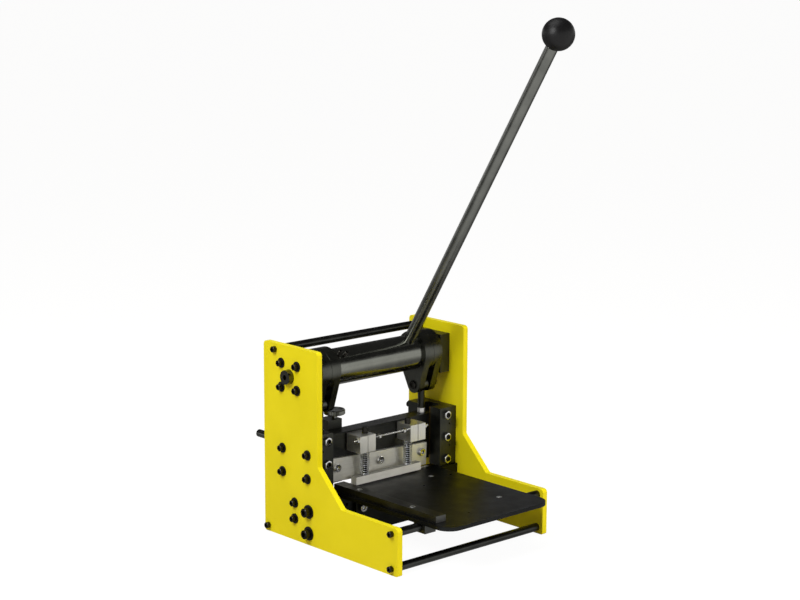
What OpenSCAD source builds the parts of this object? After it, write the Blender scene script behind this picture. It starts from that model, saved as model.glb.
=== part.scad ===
// Guillotine shear for the bench: two side plates carry an eccentric shaft turned by a long lever.
// Two connecting rods drive a ram in gibbed guides, and the ram carries the upper blade and the hold-down.
// X runs across the machine, +Y to the back, +Z up. The origin lies on the bench, midway between the plates.
// A depth is measured forward from the plates' back edge, and y_of() turns it into a Y.

/* [Side plates] */
// Thickness of a side plate
plate_t = 9.5; // [9:0.5:10]
// Height of a side plate's top edge above the shaft's turning axis
plate_rise = 47.7; // [46:0.1:50]
// Depth of a plate along the bench
base_depth = 310; // [308:1:320]
// Depth of the tall back part of a plate
tower_depth = 129; // [127:1:134]
// Height at which the tower's front edge starts to slope
tower_foot_z = 127; // [118:1:132]
// Depth at which the slope meets the low front part
slope_end_depth = 184; // [180:1:195]
// Height of the low front part of a plate
base_h = 73; // [72:0.5:75]
// Radius on the corners of a plate
plate_corner_r = 6; // [3:0.5:8]
// Distance of the plates' back edge behind the origin
back_y = 141.3; // [138:0.1:150]

/* [Tie rods] */
// Diameter of a tie rod
tie_d = 12.7; // [12:0.1:13]
// Depth of the top tie rod
tie_top_depth = 28; // [22:0.5:28]
// Distance of the top tie rod below the plates' top edge
tie_top_drop = 10; // [9:0.5:10]
// Distance of the lower back tie rod from the back and bottom edges
tie_back_inset = 9.6; // [9:0.1:12]
// Distance of the front tie rods from the plates' front edge
tie_front_inset = 12.6; // [11:0.1:14]
// Height of the lower front tie rod
tie_low_z = 10.2; // [9:0.1:12]
// Height of the upper front tie rod
tie_shelf_z = 63.4; // [62:0.1:63.4]

/* [Fasteners] */
// Diameter of a small screw
small_screw_d = 6.35; // [6:0.05:6.4]
// Diameter of a small screw's head
small_head_d = 9.6; // [9.4:0.1:10]
// Height of a small screw's head
small_head_h = 6.4; // [5:0.1:6.4]
// Diameter of a washer under a small screw
small_washer_d = 15.9; // [14:0.1:17]
// Thickness of a washer
washer_t = 1.6; // [1.2:0.1:2]
// Diameter of a large screw
large_screw_d = 9.5; // [9:0.1:9.6]
// Diameter of a large screw's head
large_head_d = 14.3; // [13.5:0.1:15]
// Height of a large screw's head
large_head_h = 9.5; // [8:0.1:10]
// Diameter of a washer under a large screw
large_washer_d = 22; // [20:0.5:23]
// Length of a screw beyond the piece under its head
screw_grip = 18; // [14:0.5:20]
// Diameter of the chrome blade and bracket screws
blade_screw_d = 7.9; // [7:0.1:8]
// Diameter of a blade screw's head
blade_head_d = 12.7; // [12:0.1:13]
// Height of a blade screw's head
blade_head_h = 5; // [4:0.1:5.6]

/* [Eccentric shaft] */
// Depth of the shaft's turning axis
shaft_depth = 62.2; // [60:0.1:64]
// Height of the shaft's turning axis above the pins at rest
shaft_rise = 48.8; // [48:0.1:50]
// Diameter of the shaft's thick eccentric body
body_d = 57; // [54:0.5:58]
// Distance of the body's centre from the turning axis
throw = 9.5; // [9:0.1:10]
// Angle of the throw at rest, from straight up towards the front
throw_angle = 60; // [55:1:65]
// Diameter of a journal at each end of the shaft
journal_d = 22.2; // [20:0.1:24]
// Length of journal that stands out of a side plate
journal_stub = 9; // [6:0.5:11]
// Thickness of a bearing block
bearing_t = 20; // [18:0.5:20]
// Depth of a bearing block, front to back
bearing_depth = 69; // [66:0.5:70]
// Height of a bearing block
bearing_h = 63; // [60:0.5:64]
// Spacing of a bearing block's four screws
bearing_pitch = 37.5; // [36:0.5:40]
// Wall of a bearing bush
bush_wall = 3.2; // [2.5:0.1:4]
// Diameter of a thrust collar
collar_d = 34; // [30:0.5:36]
// Distances of the two set screws from the left connecting rod
set_screw_insets = [9.5, 19]; // [8:0.5:30]
// Angles of the set screws from straight up towards the front
set_screw_angles = [36, 43]; // [10:1:60]
// Diameter of a set screw
set_screw_d = 6.35; // [6:0.05:6.4]
// Length of a set screw inside the shaft
set_screw_l = 12; // [10:0.5:14]
// Length of a set screw outside the shaft
set_screw_rise = 8; // [1:0.5:9]

/* [Lever] */
// Distance of the lever's middle from the right connecting rod
lever_inset = 19; // [16:0.5:22]
// Lean of the lever at rest, from straight up towards the front
lever_angle = 32.1; // [25:0.1:40]
// Diameter of the lever
lever_d = 19; // [17:0.5:20]
// Distance from the body's centre to the ball knob's centre
lever_reach = 614.5; // [560:0.5:660]
// Depth of the lever's socket in the shaft
lever_socket = 24; // [18:0.5:28]
// Diameter of the ball knob
knob_d = 48; // [44:0.5:52]
// Diameter of the stud that holds the knob
knob_stud_d = 9.5; // [8:0.1:11]
// Length of that stud
knob_stud_l = 18; // [14:1:20]

/* [Connecting rods] */
// Gap between a connecting rod and a bearing block
rod_side_gap = 2.5; // [2.2:0.1:3]
// Thickness of a cheek
cheek_t = 12; // [11.5:0.1:12.5]
// Width of the slot between the cheeks
slot_w = 13; // [12.5:0.1:13.5]
// Wall of the big end round the shaft
big_end_wall = 5.5; // [5:0.1:6]
// Radius of a cheek's lower end
cheek_end_r = 13.5; // [12:0.1:14]
// Depth of the pin
pin_depth = 74.9; // [74.7:0.1:75.1]
// Height of the pins above the ram's top at rest
pin_rise = 48.5; // [47:0.1:50]
// Length of pin bolt beyond the rod's outer face
pin_tail = 12; // [10:0.5:14]
// Width across flats of a pin nut
pin_nut_af = 14.3; // [13:0.1:16]
// Height of a pin nut
pin_nut_h = 8.2; // [7:0.1:9]
// Height of a pin bolt's low head
pin_head_h = 3; // [2.5:0.1:4]
// Diameter of a push rod
push_d = 11.4; // [11:0.1:12]
// Outer diameter of a push rod's eye
eye_d = 24; // [22:0.5:25]
// Thickness of a push rod's eye
eye_t = 11; // [10.5:0.1:11.5]
// Diameter of the push rod's threaded end
push_stud_d = 7.9; // [7:0.1:8]
// Length of threaded end inside the ram
push_stud_l = 30; // [20:1:40]
// Width across flats of the lock nuts on the gib screws
lock_nut_af = 12.7; // [12:0.1:13.5]
// Width across flats of the white lock nuts on the push rods
push_nut_af = 11.1; // [10.5:0.1:12]
// Height of a lock nut on a push rod
push_nut_h = 8; // [6:0.1:8.5]
// Width of the fine groove round the middle of a rod's big end
groove_w = 0.8; // [0.5:0.1:1.2]

/* [Ram and guides] */
// Height of the ram's top face at rest
ram_top = 160; // [158:0.5:161]
// Height of the ram itself
ram_h = 70; // [66:0.5:71]
// Thickness of the ram
ram_t = 25; // [24:0.1:25]
// Depth of the ram's back face
ram_back = 62; // [61.9:0.1:62.1]
// Gap between the ram's end and a guide's leg
ram_end_gap = 0.3; // [0.25:0.05:0.5]
// Width of a guide block across the machine
guide_w = 35.2; // [34:0.1:36]
// Thickness of a back guide's leg along the side plate
guide_leg_t = 13; // [12:0.5:14]
// Thickness of a back guide block
back_guide_t = 25; // [22:0.5:26]
// Thickness of a front guide block
front_guide_t = 23.4; // [22:0.1:24]
// Height of the guide blocks' top
guide_top = 171.5; // [170:0.5:173]
// Thickness of a brass gib
gib_t = 2.9; // [2.5:0.1:3.2]
// Distance of a gib's ends from the guide block's ends
gib_inset = 1; // [0.5:0.5:3]
// Distance of the gib screws from a guide's inner side
gib_screw_inset = 13.2; // [12:0.1:15]
// Height of the top gib screw
gib_screw_top = 160; // [158:0.5:162]
// Spacing of the gib screws
gib_screw_pitch = 36.5; // [34:0.5:38]
// Height of a lock nut on a gib screw
gib_nut_h = 5.6; // [4:0.1:6]
// Length of gib screw that shows beyond its nut
gib_screw_tip = 1.6; // [1:0.1:3]
// Depth of the back guide screws in the side plates
guide_screw_back = 45.3; // [44:0.1:48]
// Depth of the front guide screws in the side plates
guide_screw_front = 105.2; // [104:0.1:106]
// Height of the upper guide screws
guide_screw_top = 142; // [141:0.5:143]
// Spacing of the guide screws, up and down
guide_screw_pitch = 37.4; // [36:0.1:38]
// Diameter of a dowel hole in a front guide block
dowel_d = 3; // [2:0.5:4]
// Distance of the dowel holes from a guide's inner side
dowel_inset = 20.7; // [19:0.1:23]
// Height of the upper dowel hole
dowel_z = 144; // [142:0.5:146]
// Height of the cap screw in a back guide block's back face
back_screw_z = 164; // [160:0.5:165]
// Distance of that cap screw from the guide's inner side
back_screw_inset = 5.7; // [5.5:0.1:9]
// Length of that cap screw
back_screw_l = 12; // [10:0.5:16]

/* [Blades] */
// Length of a blade
blade_l = 203; // [198:1:206]
// Gap between a blade's end and a guide
blade_end_gap = 11.3; // [10:0.1:13]
// Thickness of a blade
blade_t = 6.35; // [6:0.05:6.4]
// Height of the upper blade
upper_blade_h = 37; // [35:0.5:38]
// Height of the upper blade's middle at rest
upper_blade_z = 100; // [99.5:0.1:100.5]
// Rake of the upper blade, lower on the right
rake = 2.2; // [1.8:0.1:2.4]
// Spacing of the blade screws as a share of the blade's length
blade_screw_share = 0.441; // [0.41:0.001:0.45]
// Distance of the blade screws from the blades' middles, up in the upper and down in the lower blade
blade_screw_rise = 4; // [2:0.5:6]
// Height of the lower blade
lower_blade_h = 37; // [35:0.5:38]
// Diameter of the lower blade screws' tapped holes where they leave the bed beam
blade_tap_d = 5; // [4:0.1:6]
// Gap between the two blades' faces
blade_gap = 0.3; // [0.25:0.05:0.4]

/* [Bed and table] */
// Height of the table's top face
table_z = 76; // [75.5:0.1:76]
// Thickness of the table
table_t = 6; // [5:0.1:6]
// Distance of the table's edges inside the guides' inner sides
table_side_gap = 3.3; // [3:0.1:4]
// Depth of the table's front edge
table_front = 366; // [350:1:380]
// Radius on the table's front corners
table_corner_r = 25; // [15:1:30]
// Thickness of the bed beam
bed_t = 18; // [17.5:0.1:18.5]
// Height of the bed beam's underside
bed_bottom_z = 7; // [6:0.5:8]
// Side play between the table and the bed beam's raised ends
table_end_gap = 0.5; // [0.3:0.1:1]
// Depth of the large bed screws
bed_screw_depth = 107.8; // [107:0.1:110]
// Height of the upper large bed screw
bed_screw_top = 53.2; // [50:0.1:55]
// Height of the lower large bed screw
bed_screw_low = 18.7; // [18:0.1:22]
// Depth of the back beam's middle
back_beam_depth = 74.3; // [74:0.1:75]
// Thickness of the back beam
back_beam_t = 20; // [16:0.5:21]
// Height of the back beam's underside
back_beam_z = 28; // [24:0.5:30]
// Height of the back beam
back_beam_h = 38; // [36:0.5:39]
// Height of the upper small screw in the back beam
back_beam_screw_top = 60.4; // [58:0.1:62]
// Height of the lower small screw in the back beam
back_beam_screw_low = 35.1; // [34:0.1:38]
// Distance of the fence's middle from the table's left edge
fence_inset = 17.5; // [16:0.5:19]
// Width of the fence
fence_w = 20; // [18:0.5:21]
// Height of the fence above the table
fence_h = 10; // [8:0.5:10]
// Depth of the fence's back end
fence_back = 102; // [101:0.5:108]
// Depth of the fence's front end
fence_front = 332; // [320:1:340]
// Depths of the two fence screws
fence_screw_depths = [151, 271]; // [140:1:280]
// Length of a table screw below the table's top
table_screw_l = 11; // [10:0.5:12]
// Place of the right table screws as a share of the table's half width
right_screw_share = 0.584; // [0.55:0.001:0.6]
// Depth of the right back table screw
right_screw_depth = 145; // [140:1:150]
// Width of the bracket under the table as a share of the table's width
bracket_share = 0.69; // [0.65:0.01:0.75]
// Thickness of the bracket's two legs
bracket_t = 6; // [5:0.1:7]
// Length of the bracket's flat leg under the table
bracket_reach = 40; // [36:1:50]
// Height of the bracket's lower edge
bracket_z = 3.5; // [3:0.5:8]
// Height of the bracket's screws
bracket_screw_z = 45.6; // [44:0.1:48]
// Distance of the bracket's screws from its ends
bracket_screw_inset = 11.5; // [10:0.5:14]
// Length of the bracket's screws in the bed beam
bracket_screw_l = 12; // [10:0.5:14]
// Diameter of the washers on the bracket's screws
bracket_washer_d = 14.5; // [14:0.1:16]
// Width of a saddle on the front tie rod
saddle_w = 22; // [20:0.5:24]
// Depth of a saddle, front to back
saddle_depth = 25; // [22:0.5:28]
// Height of a saddle
saddle_h = 16; // [15:0.5:17]
// Diameter of the small tapped holes in the table
tap_hole_d = 4; // [3:0.1:5]
// Places of the three tapped holes as shares of the table's half width
tap_hole_shares = [0.1735, 0.84, -0.265]; // [-0.9:0.0005:0.9]
// Depths of the three tapped holes
tap_hole_depths = [176.5, 160.5, 326]; // [130:0.5:350]

/* [Hold-down] */
// Places of the two blocks' middles across the machine
block_x = [-49.5, 56.5]; // [-60:0.5:60]
// Places of the two guide rods across the machine
hold_rod_x = [-42, 48.5]; // [-60:0.5:60]
// Width of a block
block_w = 32; // [31:0.5:33]
// Depth of a block, front to back
block_depth = 35; // [34:0.5:36]
// Height of a block's underside
block_z = 130.5; // [130:0.5:132]
// Height of a block
block_h = 27; // [25:0.5:27]
// Radius on a block's back edges
block_r = 4; // [2:0.5:5]
// Width of the slit that lets a block clamp
slit_w = 1; // [0.8:0.1:1.4]
// Length of a block's screws beyond the ram
block_screw_l = 13; // [10:0.5:14]
// Depth of the guide rods
hold_rod_depth = 106; // [105.5:0.1:106.5]
// Diameter of a guide rod
hold_rod_d = 6.35; // [6:0.05:6.5]
// Gap under a guide rod's head at rest
hold_head_gap = 3.2; // [3:0.1:3.4]
// Height of a guide rod's head
hold_head_h = 12.4; // [11:0.1:13]
// Depth of a block's counterbore under a guide rod's head
hold_bore_depth = 6; // [5:0.5:7]
// Depth of the cross rod
cross_depth = 117; // [116.5:0.1:117.5]
// Height of the cross rod
cross_z = 151; // [149:0.5:152]
// Diameter of the cross rod
cross_d = 3.6; // [3:0.1:4]
// Width across flats of a cross rod nut
cross_nut_af = 7.6; // [7:0.1:8.5]
// Height of a cross rod nut
cross_nut_h = 4; // [3:0.5:5]
// Length of cross rod beyond the outer nuts
cross_tail = 5; // [3:0.5:6]
// Distance of an inner nut from its block
cross_inner_gap = 9; // [6:0.5:12]
// Length of the foot
foot_l = 137; // [130:1:140]
// Place of the foot's middle across the machine
foot_x = 3.5; // [2:0.5:5]
// Depth of the foot, front to back
foot_depth = 12.5; // [11:0.5:12.5]
// Height of the foot
foot_h = 12.2; // [11:0.1:13]
// Gap under the foot at rest
foot_gap = 2.3; // [2.2:0.1:2.6]
// Outer diameter of a spring
spring_d = 15; // [14:0.1:15.2]
// Diameter of the spring wire
wire_d = 1.5; // [1.3:0.1:1.6]
// Number of turns in a spring
spring_turns = 13; // [11:1:14]

/* [Back gauge] */
// Place of the gauge rod across the machine
gauge_x = -60; // [-61:0.5:-60]
// Height of the gauge rod
gauge_z = 112; // [111:0.5:114]
// Diameter of the gauge rod
gauge_d = 12.7; // [12:0.1:13]
// Length of gauge rod behind the plates' back edge
gauge_tail = 138.5; // [120:0.5:140]
// Depth of the gauge rod's hole in the ram
gauge_socket = 20; // [16:0.5:21]
// Place of the clamp block's middle across the machine
clamp_x = -65.5; // [-66:0.5:-65]
// Width of the clamp block
clamp_w = 28; // [27:0.5:30]
// Depth of the clamp block, front to back
clamp_depth = 26; // [24:0.5:28]
// Height of the clamp block's top
clamp_top = 174; // [170:0.5:176]
// Height of the clamp block's underside
clamp_z = 72; // [71:0.5:76]
// Radius on the clamp block's upright edges
clamp_r = 3; // [2:0.5:4]
// Distance of the clamp block's screws from its left face
clamp_screw_inset = 7.5; // [6.5:0.5:8]
// Heights of the clamp block's two screws
clamp_screw_zs = [134, 156]; // [128:0.5:158]
// Depth of the thumb screw
thumb_depth = 54; // [50:0.5:55]
// Diameter of the thumb screw's knob
thumb_d = 34; // [32:0.5:35]
// Height of the knob's underside
thumb_z = 181; // [179:0.5:183]
// Height of the knob
thumb_h = 8; // [7:0.5:9]
// Diameter of the collar under the knob
thumb_collar_d = 9; // [8.5:0.5:11]
// Diameter of the thumb screw
thumb_screw_d = 6.35; // [6:0.05:7]
// Width of the gauge stop
stop_w = 60; // [50:1:70]
// Depth of the stop's front face behind the plates' back edge
stop_back = 60; // [50:1:70]
// Thickness of the stop
stop_t = 12; // [10:0.5:14]
// Height of the stop's lower edge
stop_z = 71; // [70:0.5:74]
// Height of the stop's upper edge
stop_top = 122; // [120:0.5:126]
// Radius on the stop's corners
stop_r = 4; // [2:0.5:6]

/* [Fits and travel] */
// Gap all round a running fit
run_gap = 0.05; // [0.04:0.01:0.08]
// Play of a screw in its hole, on the diameter
screw_play = 0.3; // [0.2:0.1:0.5]
// Gap all round the pin in the push rod's eye, the linkage's opened pivot
open_gap = 2.15; // [2.1:0.05:2.3]
// Gap left between pieces that move past each other
free_gap = 0.3; // [0.25:0.05:0.4]

/* [Hidden] */
$fn = 64;
guide_x = blade_l / 2 + blade_end_gap;
inner_x = guide_x + guide_w;
half_w = inner_x + plate_t;
leg_x = inner_x - guide_leg_t;
socket_share = 0.5;
socket_depth_share = 0.5;
bearing_x = inner_x - bearing_t;
rod_w = 2 * cheek_t + slot_w;
rod_outer_x = bearing_x - rod_side_gap;
rod_inner_x = rod_outer_x - rod_w;
push_x = rod_inner_x + cheek_t + slot_w / 2;
pin_z = ram_top + pin_rise;
shaft_z = pin_z + shaft_rise;
plate_h = shaft_z + plate_rise;
big_end_r = body_d / 2 + big_end_wall;
body_depth = shaft_depth + throw * sin(throw_angle);
body_z = shaft_z + throw * cos(throw_angle);
body_half_l = rod_outer_x + free_gap;
ram_front = ram_back + ram_t;
ram_middle = ram_back + ram_t / 2;
ram_bottom = ram_top - ram_h;
front_guide_back = ram_front + run_gap + gib_t + run_gap;
front_guide_front = front_guide_back + front_guide_t;
back_guide_front = ram_back - run_gap;
blade_front = ram_front + blade_t;
lower_blade_back = blade_front + blade_gap;
bed_back = lower_blade_back + blade_t;
bed_front = bed_back + bed_t;
table_w = 2 * (guide_x - table_side_gap);
table_under = table_z - table_t;
fence_x = fence_inset - table_w / 2;
right_screw_x = right_screw_share * table_w / 2;
bracket_w = bracket_share * table_w;
bed_end_x = table_w / 2 + table_end_gap;
foot_z = table_z + foot_gap;
foot_top = foot_z + foot_h;
block_front = ram_front + block_depth;
block_top = block_z + block_h;
gauge_front = ram_back + gauge_socket - free_gap;
clamp_back = ram_back - clamp_depth;

function y_of(depth) = back_y - depth;
function turn(v, a) = [v[0] * cos(a) - v[1] * sin(a), v[0] * sin(a) + v[1] * cos(a)];
function unit(v) = v / norm(v);

// Outline with its corners rounded: each corner is [point, radius]
corner_steps = 6;
function round_corner(a, p, b, r) =
    r == 0 ? [p] :
    let (u = unit(a - p), w = unit(b - p), half = acos(u * w) / 2,
         reach = r / tan(half), centre = p + unit(u + w) * r / sin(half),
         from = p + u * reach - centre, to = p + w * reach - centre,
         side = sign(from[0] * to[1] - from[1] * to[0]), sweep = 180 - 2 * half)
    [for (i = [0:corner_steps]) centre + turn(from, side * sweep * i / corner_steps)];
function rounded(corners) =
    let (n = len(corners))
    [for (i = [0:n - 1])
        each round_corner(corners[(i + n - 1) % n][0], corners[i][0], corners[(i + 1) % n][0], corners[i][1])];

// Box between two X places, two depths and two heights
module slab(x0, x1, d0, d1, z0, z1) {
    translate([x0, y_of(d1), z0]) cube([x1 - x0, d1 - d0, z1 - z0]);
}

// Children drawn along +Z point to the right, to the left, to the front or to the back
module to_right(x, depth, z) { translate([x, y_of(depth), z]) rotate([0, 90, 0]) children(); }
module to_left(x, depth, z) { translate([x, y_of(depth), z]) rotate([0, -90, 0]) children(); }
module to_front(x, depth, z) { translate([x, y_of(depth), z]) rotate([90, 0, 0]) children(); }
module to_back(x, depth, z) { translate([x, y_of(depth), z]) rotate([-90, 0, 0]) children(); }
module up(x, depth, z) { translate([x, y_of(depth), z]) children(); }
module mirrored(side) { if (side < 0) mirror([1, 0, 0]) children(); else children(); }

// Bar across the machine between two X places
module bar(d, x0, x1, depth, z) { to_right(x0, depth, z) cylinder(d = d, h = x1 - x0); }

// Screw with a round head and a hex socket, its head above z = 0 and its shank below
module cap_screw(d, head_d, head_h, l) {
    difference() {
        union() {
            cylinder(d = head_d, h = head_h);
            translate([0, 0, -l]) cylinder(d = d, h = l + head_h / 2);
        }
        translate([0, 0, head_h * (1 - socket_depth_share)])
            cylinder(d = head_d * socket_share * 2 / sqrt(3), h = head_h, $fn = 6);
    }
}
module small_screw(l) { cap_screw(small_screw_d, small_head_d, small_head_h, l); }
module large_screw(l) { cap_screw(large_screw_d, large_head_d, large_head_h, l); }
module blade_screw(l) { cap_screw(blade_screw_d, blade_head_d, blade_head_h, l); }

// Ring on z = 0, and a hex nut on z = 0
module ring(outer_d, hole_d, h) {
    difference() {
        cylinder(d = outer_d, h = h);
        translate([0, 0, -h / 2]) cylinder(d = hole_d, h = 2 * h);
    }
}
module hex_nut(af, hole_d, h) {
    difference() {
        cylinder(d = af * 2 / sqrt(3), h = h, $fn = 6);
        translate([0, 0, -h / 2]) cylinder(d = hole_d, h = 2 * h);
    }
}

// Places, as [depth, height], of everything that the side plates carry
tie_places = [
    [tie_top_depth, plate_h - tie_top_drop],
    [tie_back_inset, tie_back_inset],
    [base_depth - tie_front_inset, tie_shelf_z],
    [base_depth - tie_front_inset, tie_low_z]
];
bearing_places = [for (i = [-1, 1], j = [-1, 1])
    [shaft_depth + i * bearing_pitch / 2, shaft_z + j * bearing_pitch / 2]];
guide_places = [for (d = [guide_screw_back, guide_screw_front], j = [0, 1])
    [d, guide_screw_top - j * guide_screw_pitch]];
back_beam_places = [for (z = [back_beam_screw_top, back_beam_screw_low]) [back_beam_depth, z]];
bed_places = [for (z = [bed_screw_top, bed_screw_low]) [bed_screw_depth, z]];
small_places = concat(bearing_places, guide_places, back_beam_places);
gib_screw_zs = [for (i = [0:2]) gib_screw_top - i * gib_screw_pitch];

// Repeats what follows on both sides, at each place, pointing out of the side plate
module out_of_plates(places, x) {
    for (side = [-1, 1], p = places) mirrored(side) to_right(x, p[0], p[1]) children();
}

module side_plate() {
    outline = rounded([
        [[y_of(0), 0], plate_corner_r / 2],
        [[y_of(0), plate_h], plate_corner_r],
        [[y_of(tower_depth), plate_h], plate_corner_r],
        [[y_of(tower_depth), tower_foot_z], plate_corner_r],
        [[y_of(slope_end_depth), base_h], plate_corner_r],
        [[y_of(base_depth), base_h], plate_corner_r],
        [[y_of(base_depth), 0], plate_corner_r / 2]
    ]);
    difference() {
        translate([inner_x, 0, 0]) rotate([90, 0, 90]) linear_extrude(plate_t) polygon(outline);
        for (p = concat(small_places, tie_places))
            bar(small_screw_d + screw_play, inner_x - plate_t, half_w + plate_t, p[0], p[1]);
        for (p = bed_places)
            bar(large_screw_d + screw_play, inner_x - plate_t, half_w + plate_t, p[0], p[1]);
        bar(journal_d + 2 * free_gap, inner_x - plate_t, half_w + plate_t, shaft_depth, shaft_z);
    }
}
module left_side_plate() { color("gold") mirrored(-1) side_plate(); }
module right_side_plate() { color("gold") mirrored(1) side_plate(); }

module tie_rods() {
    color("#202224") difference() {
        for (p = tie_places) bar(tie_d, -inner_x, inner_x, p[0], p[1]);
        out_of_plates(tie_places, inner_x - screw_grip)
            cylinder(d = small_screw_d + screw_play, h = 2 * screw_grip);
        screw_hole(right_screws[1]);
    }
}
// One kind of screw holds the tie rods, and on washers the bearing blocks, guides and back beam
module plate_screws() {
    color("#18191a") {
        out_of_plates(tie_places, half_w) small_screw(plate_t + screw_grip - washer_t);
        out_of_plates(small_places, half_w + washer_t) small_screw(plate_t + screw_grip - washer_t);
    }
}

module bearing_block() {
    difference() {
        slab(bearing_x, inner_x, shaft_depth - bearing_depth / 2, shaft_depth + bearing_depth / 2,
             shaft_z - bearing_h / 2, shaft_z + bearing_h / 2);
        bar(journal_d + 2 * bush_wall + 2 * run_gap, bearing_x - bearing_t, inner_x + bearing_t,
            shaft_depth, shaft_z);
        for (p = bearing_places)
            bar(small_screw_d + screw_play, inner_x - screw_grip, inner_x + screw_grip, p[0], p[1]);
    }
}
module left_bearing_block() { color("#26282a") mirrored(-1) bearing_block(); }
module right_bearing_block() { color("#26282a") mirrored(1) bearing_block(); }
module bearing_bushes() {
    color("peru") out_of_plates([[shaft_depth, shaft_z]], bearing_x)
        ring(journal_d + 2 * bush_wall, journal_d + 2 * run_gap, bearing_t);
}
module plate_washers() {
    color("#1c1d1e") {
        out_of_plates(small_places, half_w) ring(small_washer_d, small_screw_d + screw_play, washer_t);
        out_of_plates(bed_places, half_w) ring(large_washer_d, large_screw_d + screw_play, washer_t);
    }
}

// The shaft's thick body lies off its turning axis by the throw
module eccentric_shaft() {
    color("#2b2c2e") difference() {
        union() {
            bar(body_d, -body_half_l, body_half_l, body_depth, body_z);
            bar(journal_d, -half_w - journal_stub, half_w + journal_stub, shaft_depth, shaft_z);
        }
        along_lever() translate([0, 0, body_d / 2 - lever_socket])
            cylinder(d = lever_d + 2 * run_gap, h = body_d);
        out_of_plates([[shaft_depth, shaft_z]], half_w + journal_stub / 3)
            cylinder(d = blade_screw_d, h = journal_stub);
        for (i = [0, 1]) set_screw_place(i)
            translate([0, 0, -set_screw_l]) cylinder(d = set_screw_d + screw_play, h = body_d);
    }
}
// Collars on the journals keep the shaft's body off the bearing blocks
module thrust_collars() {
    color("#3a3b3d") for (side = [-1, 1]) mirrored(side)
        to_right(body_half_l, shaft_depth, shaft_z)
            ring(collar_d, journal_d + screw_play, bearing_x - body_half_l - free_gap);
}
module set_screw_place(i) {
    translate([set_screw_insets[i] - rod_inner_x, y_of(body_depth), body_z]) rotate([set_screw_angles[i], 0, 0])
        translate([0, 0, body_d / 2]) children();
}
module shaft_set_screws() {
    color("#1c1d1e") for (i = [0, 1]) set_screw_place(i) difference() {
        translate([0, 0, -set_screw_l]) cylinder(d = set_screw_d, h = set_screw_l + set_screw_rise);
        translate([0, 0, set_screw_rise * socket_depth_share])
            cylinder(d = set_screw_d * socket_share, h = set_screw_rise, $fn = 6);
    }
}

module along_lever() {
    translate([rod_inner_x - lever_inset, y_of(body_depth), body_z]) rotate([lever_angle, 0, 0]) children();
}
module lever() {
    color("#232425") along_lever() {
        translate([0, 0, body_d / 2 - lever_socket])
            cylinder(d = lever_d, h = lever_reach - knob_seat - body_d / 2 + lever_socket);
        translate([0, 0, lever_reach - knob_seat - knob_stud_l])
            cylinder(d = knob_stud_d, h = 2 * knob_stud_l);
    }
}
// The ball has a flat where it meets the lever
knob_seat = sqrt(pow(knob_d / 2, 2) - pow(lever_d / 2, 2));
module ball_knob() {
    color("#101010") along_lever() difference() {
        translate([0, 0, lever_reach]) sphere(d = knob_d, $fn = 96);
        translate([0, 0, lever_reach - knob_seat - knob_d]) cylinder(d = knob_d, h = knob_d);
        translate([0, 0, lever_reach - knob_seat - knob_stud_l])
            cylinder(d = knob_stud_d + 2 * run_gap, h = 2 * knob_stud_l);
    }
}

// The straight sides of a cheek, tangent to the big end's circle and the pin end's circle
module cheek_sides() {
    big = [y_of(body_depth), body_z];
    pin = [y_of(pin_depth), pin_z];
    along = unit(pin - big);
    spread = acos((big_end_r - cheek_end_r) / norm(pin - big));
    linear_extrude(cheek_t) polygon([
        big + big_end_r * turn(along, spread), pin + cheek_end_r * turn(along, spread),
        pin + cheek_end_r * turn(along, -spread), big + big_end_r * turn(along, -spread)
    ]);
}
module connecting_rod() {
    difference() {
        union() {
            bar(2 * big_end_r, rod_inner_x, rod_outer_x, body_depth, body_z);
            for (x = [rod_inner_x, rod_outer_x - cheek_t]) {
                translate([x, 0, 0]) rotate([90, 0, 90]) cheek_sides();
                bar(2 * cheek_end_r, x, x + cheek_t, pin_depth, pin_z);
            }
        }
        bar(body_d + 2 * run_gap, rod_inner_x - cheek_t, rod_outer_x + cheek_t, body_depth, body_z);
        bar(large_screw_d + 2 * run_gap, rod_inner_x - cheek_t, rod_outer_x + cheek_t, pin_depth, pin_z);
        to_right(push_x - groove_w / 2, body_depth, body_z)
            ring(2 * big_end_r + groove_w, 2 * big_end_r - groove_w, groove_w);
    }
}
module left_connecting_rod() { color("#242527") mirrored(-1) connecting_rod(); }
module right_connecting_rod() { color("#242527") mirrored(1) connecting_rod(); }

// The pin is a bolt through both cheeks, its low head on the inner side
module pin_bolt() {
    to_left(rod_inner_x, pin_depth, pin_z)
        cap_screw(large_screw_d, large_head_d, pin_head_h, rod_w + pin_tail);
}
module left_pin_bolt() { color("#18191a") mirrored(-1) pin_bolt(); }
module right_pin_bolt() { color("#18191a") mirrored(1) pin_bolt(); }
module pin_nut() {
    to_right(rod_outer_x, pin_depth, pin_z) hex_nut(pin_nut_af, large_screw_d + screw_play, pin_nut_h);
}
module left_pin_nut() { color("#202224") mirrored(-1) pin_nut(); }
module right_pin_nut() { color("#202224") mirrored(1) pin_nut(); }

// The eye's bore is wide because the linkage is opened at this pivot
module push_rod() {
    difference() {
        union() {
            bar(eye_d, push_x - eye_t / 2, push_x + eye_t / 2, ram_middle, pin_z);
            up(push_x, ram_middle, ram_top + push_nut_h) cylinder(d = push_d, h = pin_rise - push_nut_h);
            up(push_x, ram_middle, ram_top - push_stud_l)
                cylinder(d = push_stud_d, h = push_stud_l + 2 * push_nut_h);
        }
        bar(large_screw_d + 2 * open_gap, push_x - eye_t, push_x + eye_t, ram_middle, pin_z);
    }
}
module left_push_rod() { color("#2e3032") mirrored(-1) push_rod(); }
module right_push_rod() { color("#2e3032") mirrored(1) push_rod(); }
module push_rod_nuts() {
    color("white") for (side = [-1, 1]) mirrored(side)
        up(push_x, ram_middle, ram_top) hex_nut(push_nut_af, push_stud_d + screw_play, push_nut_h);
}

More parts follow.
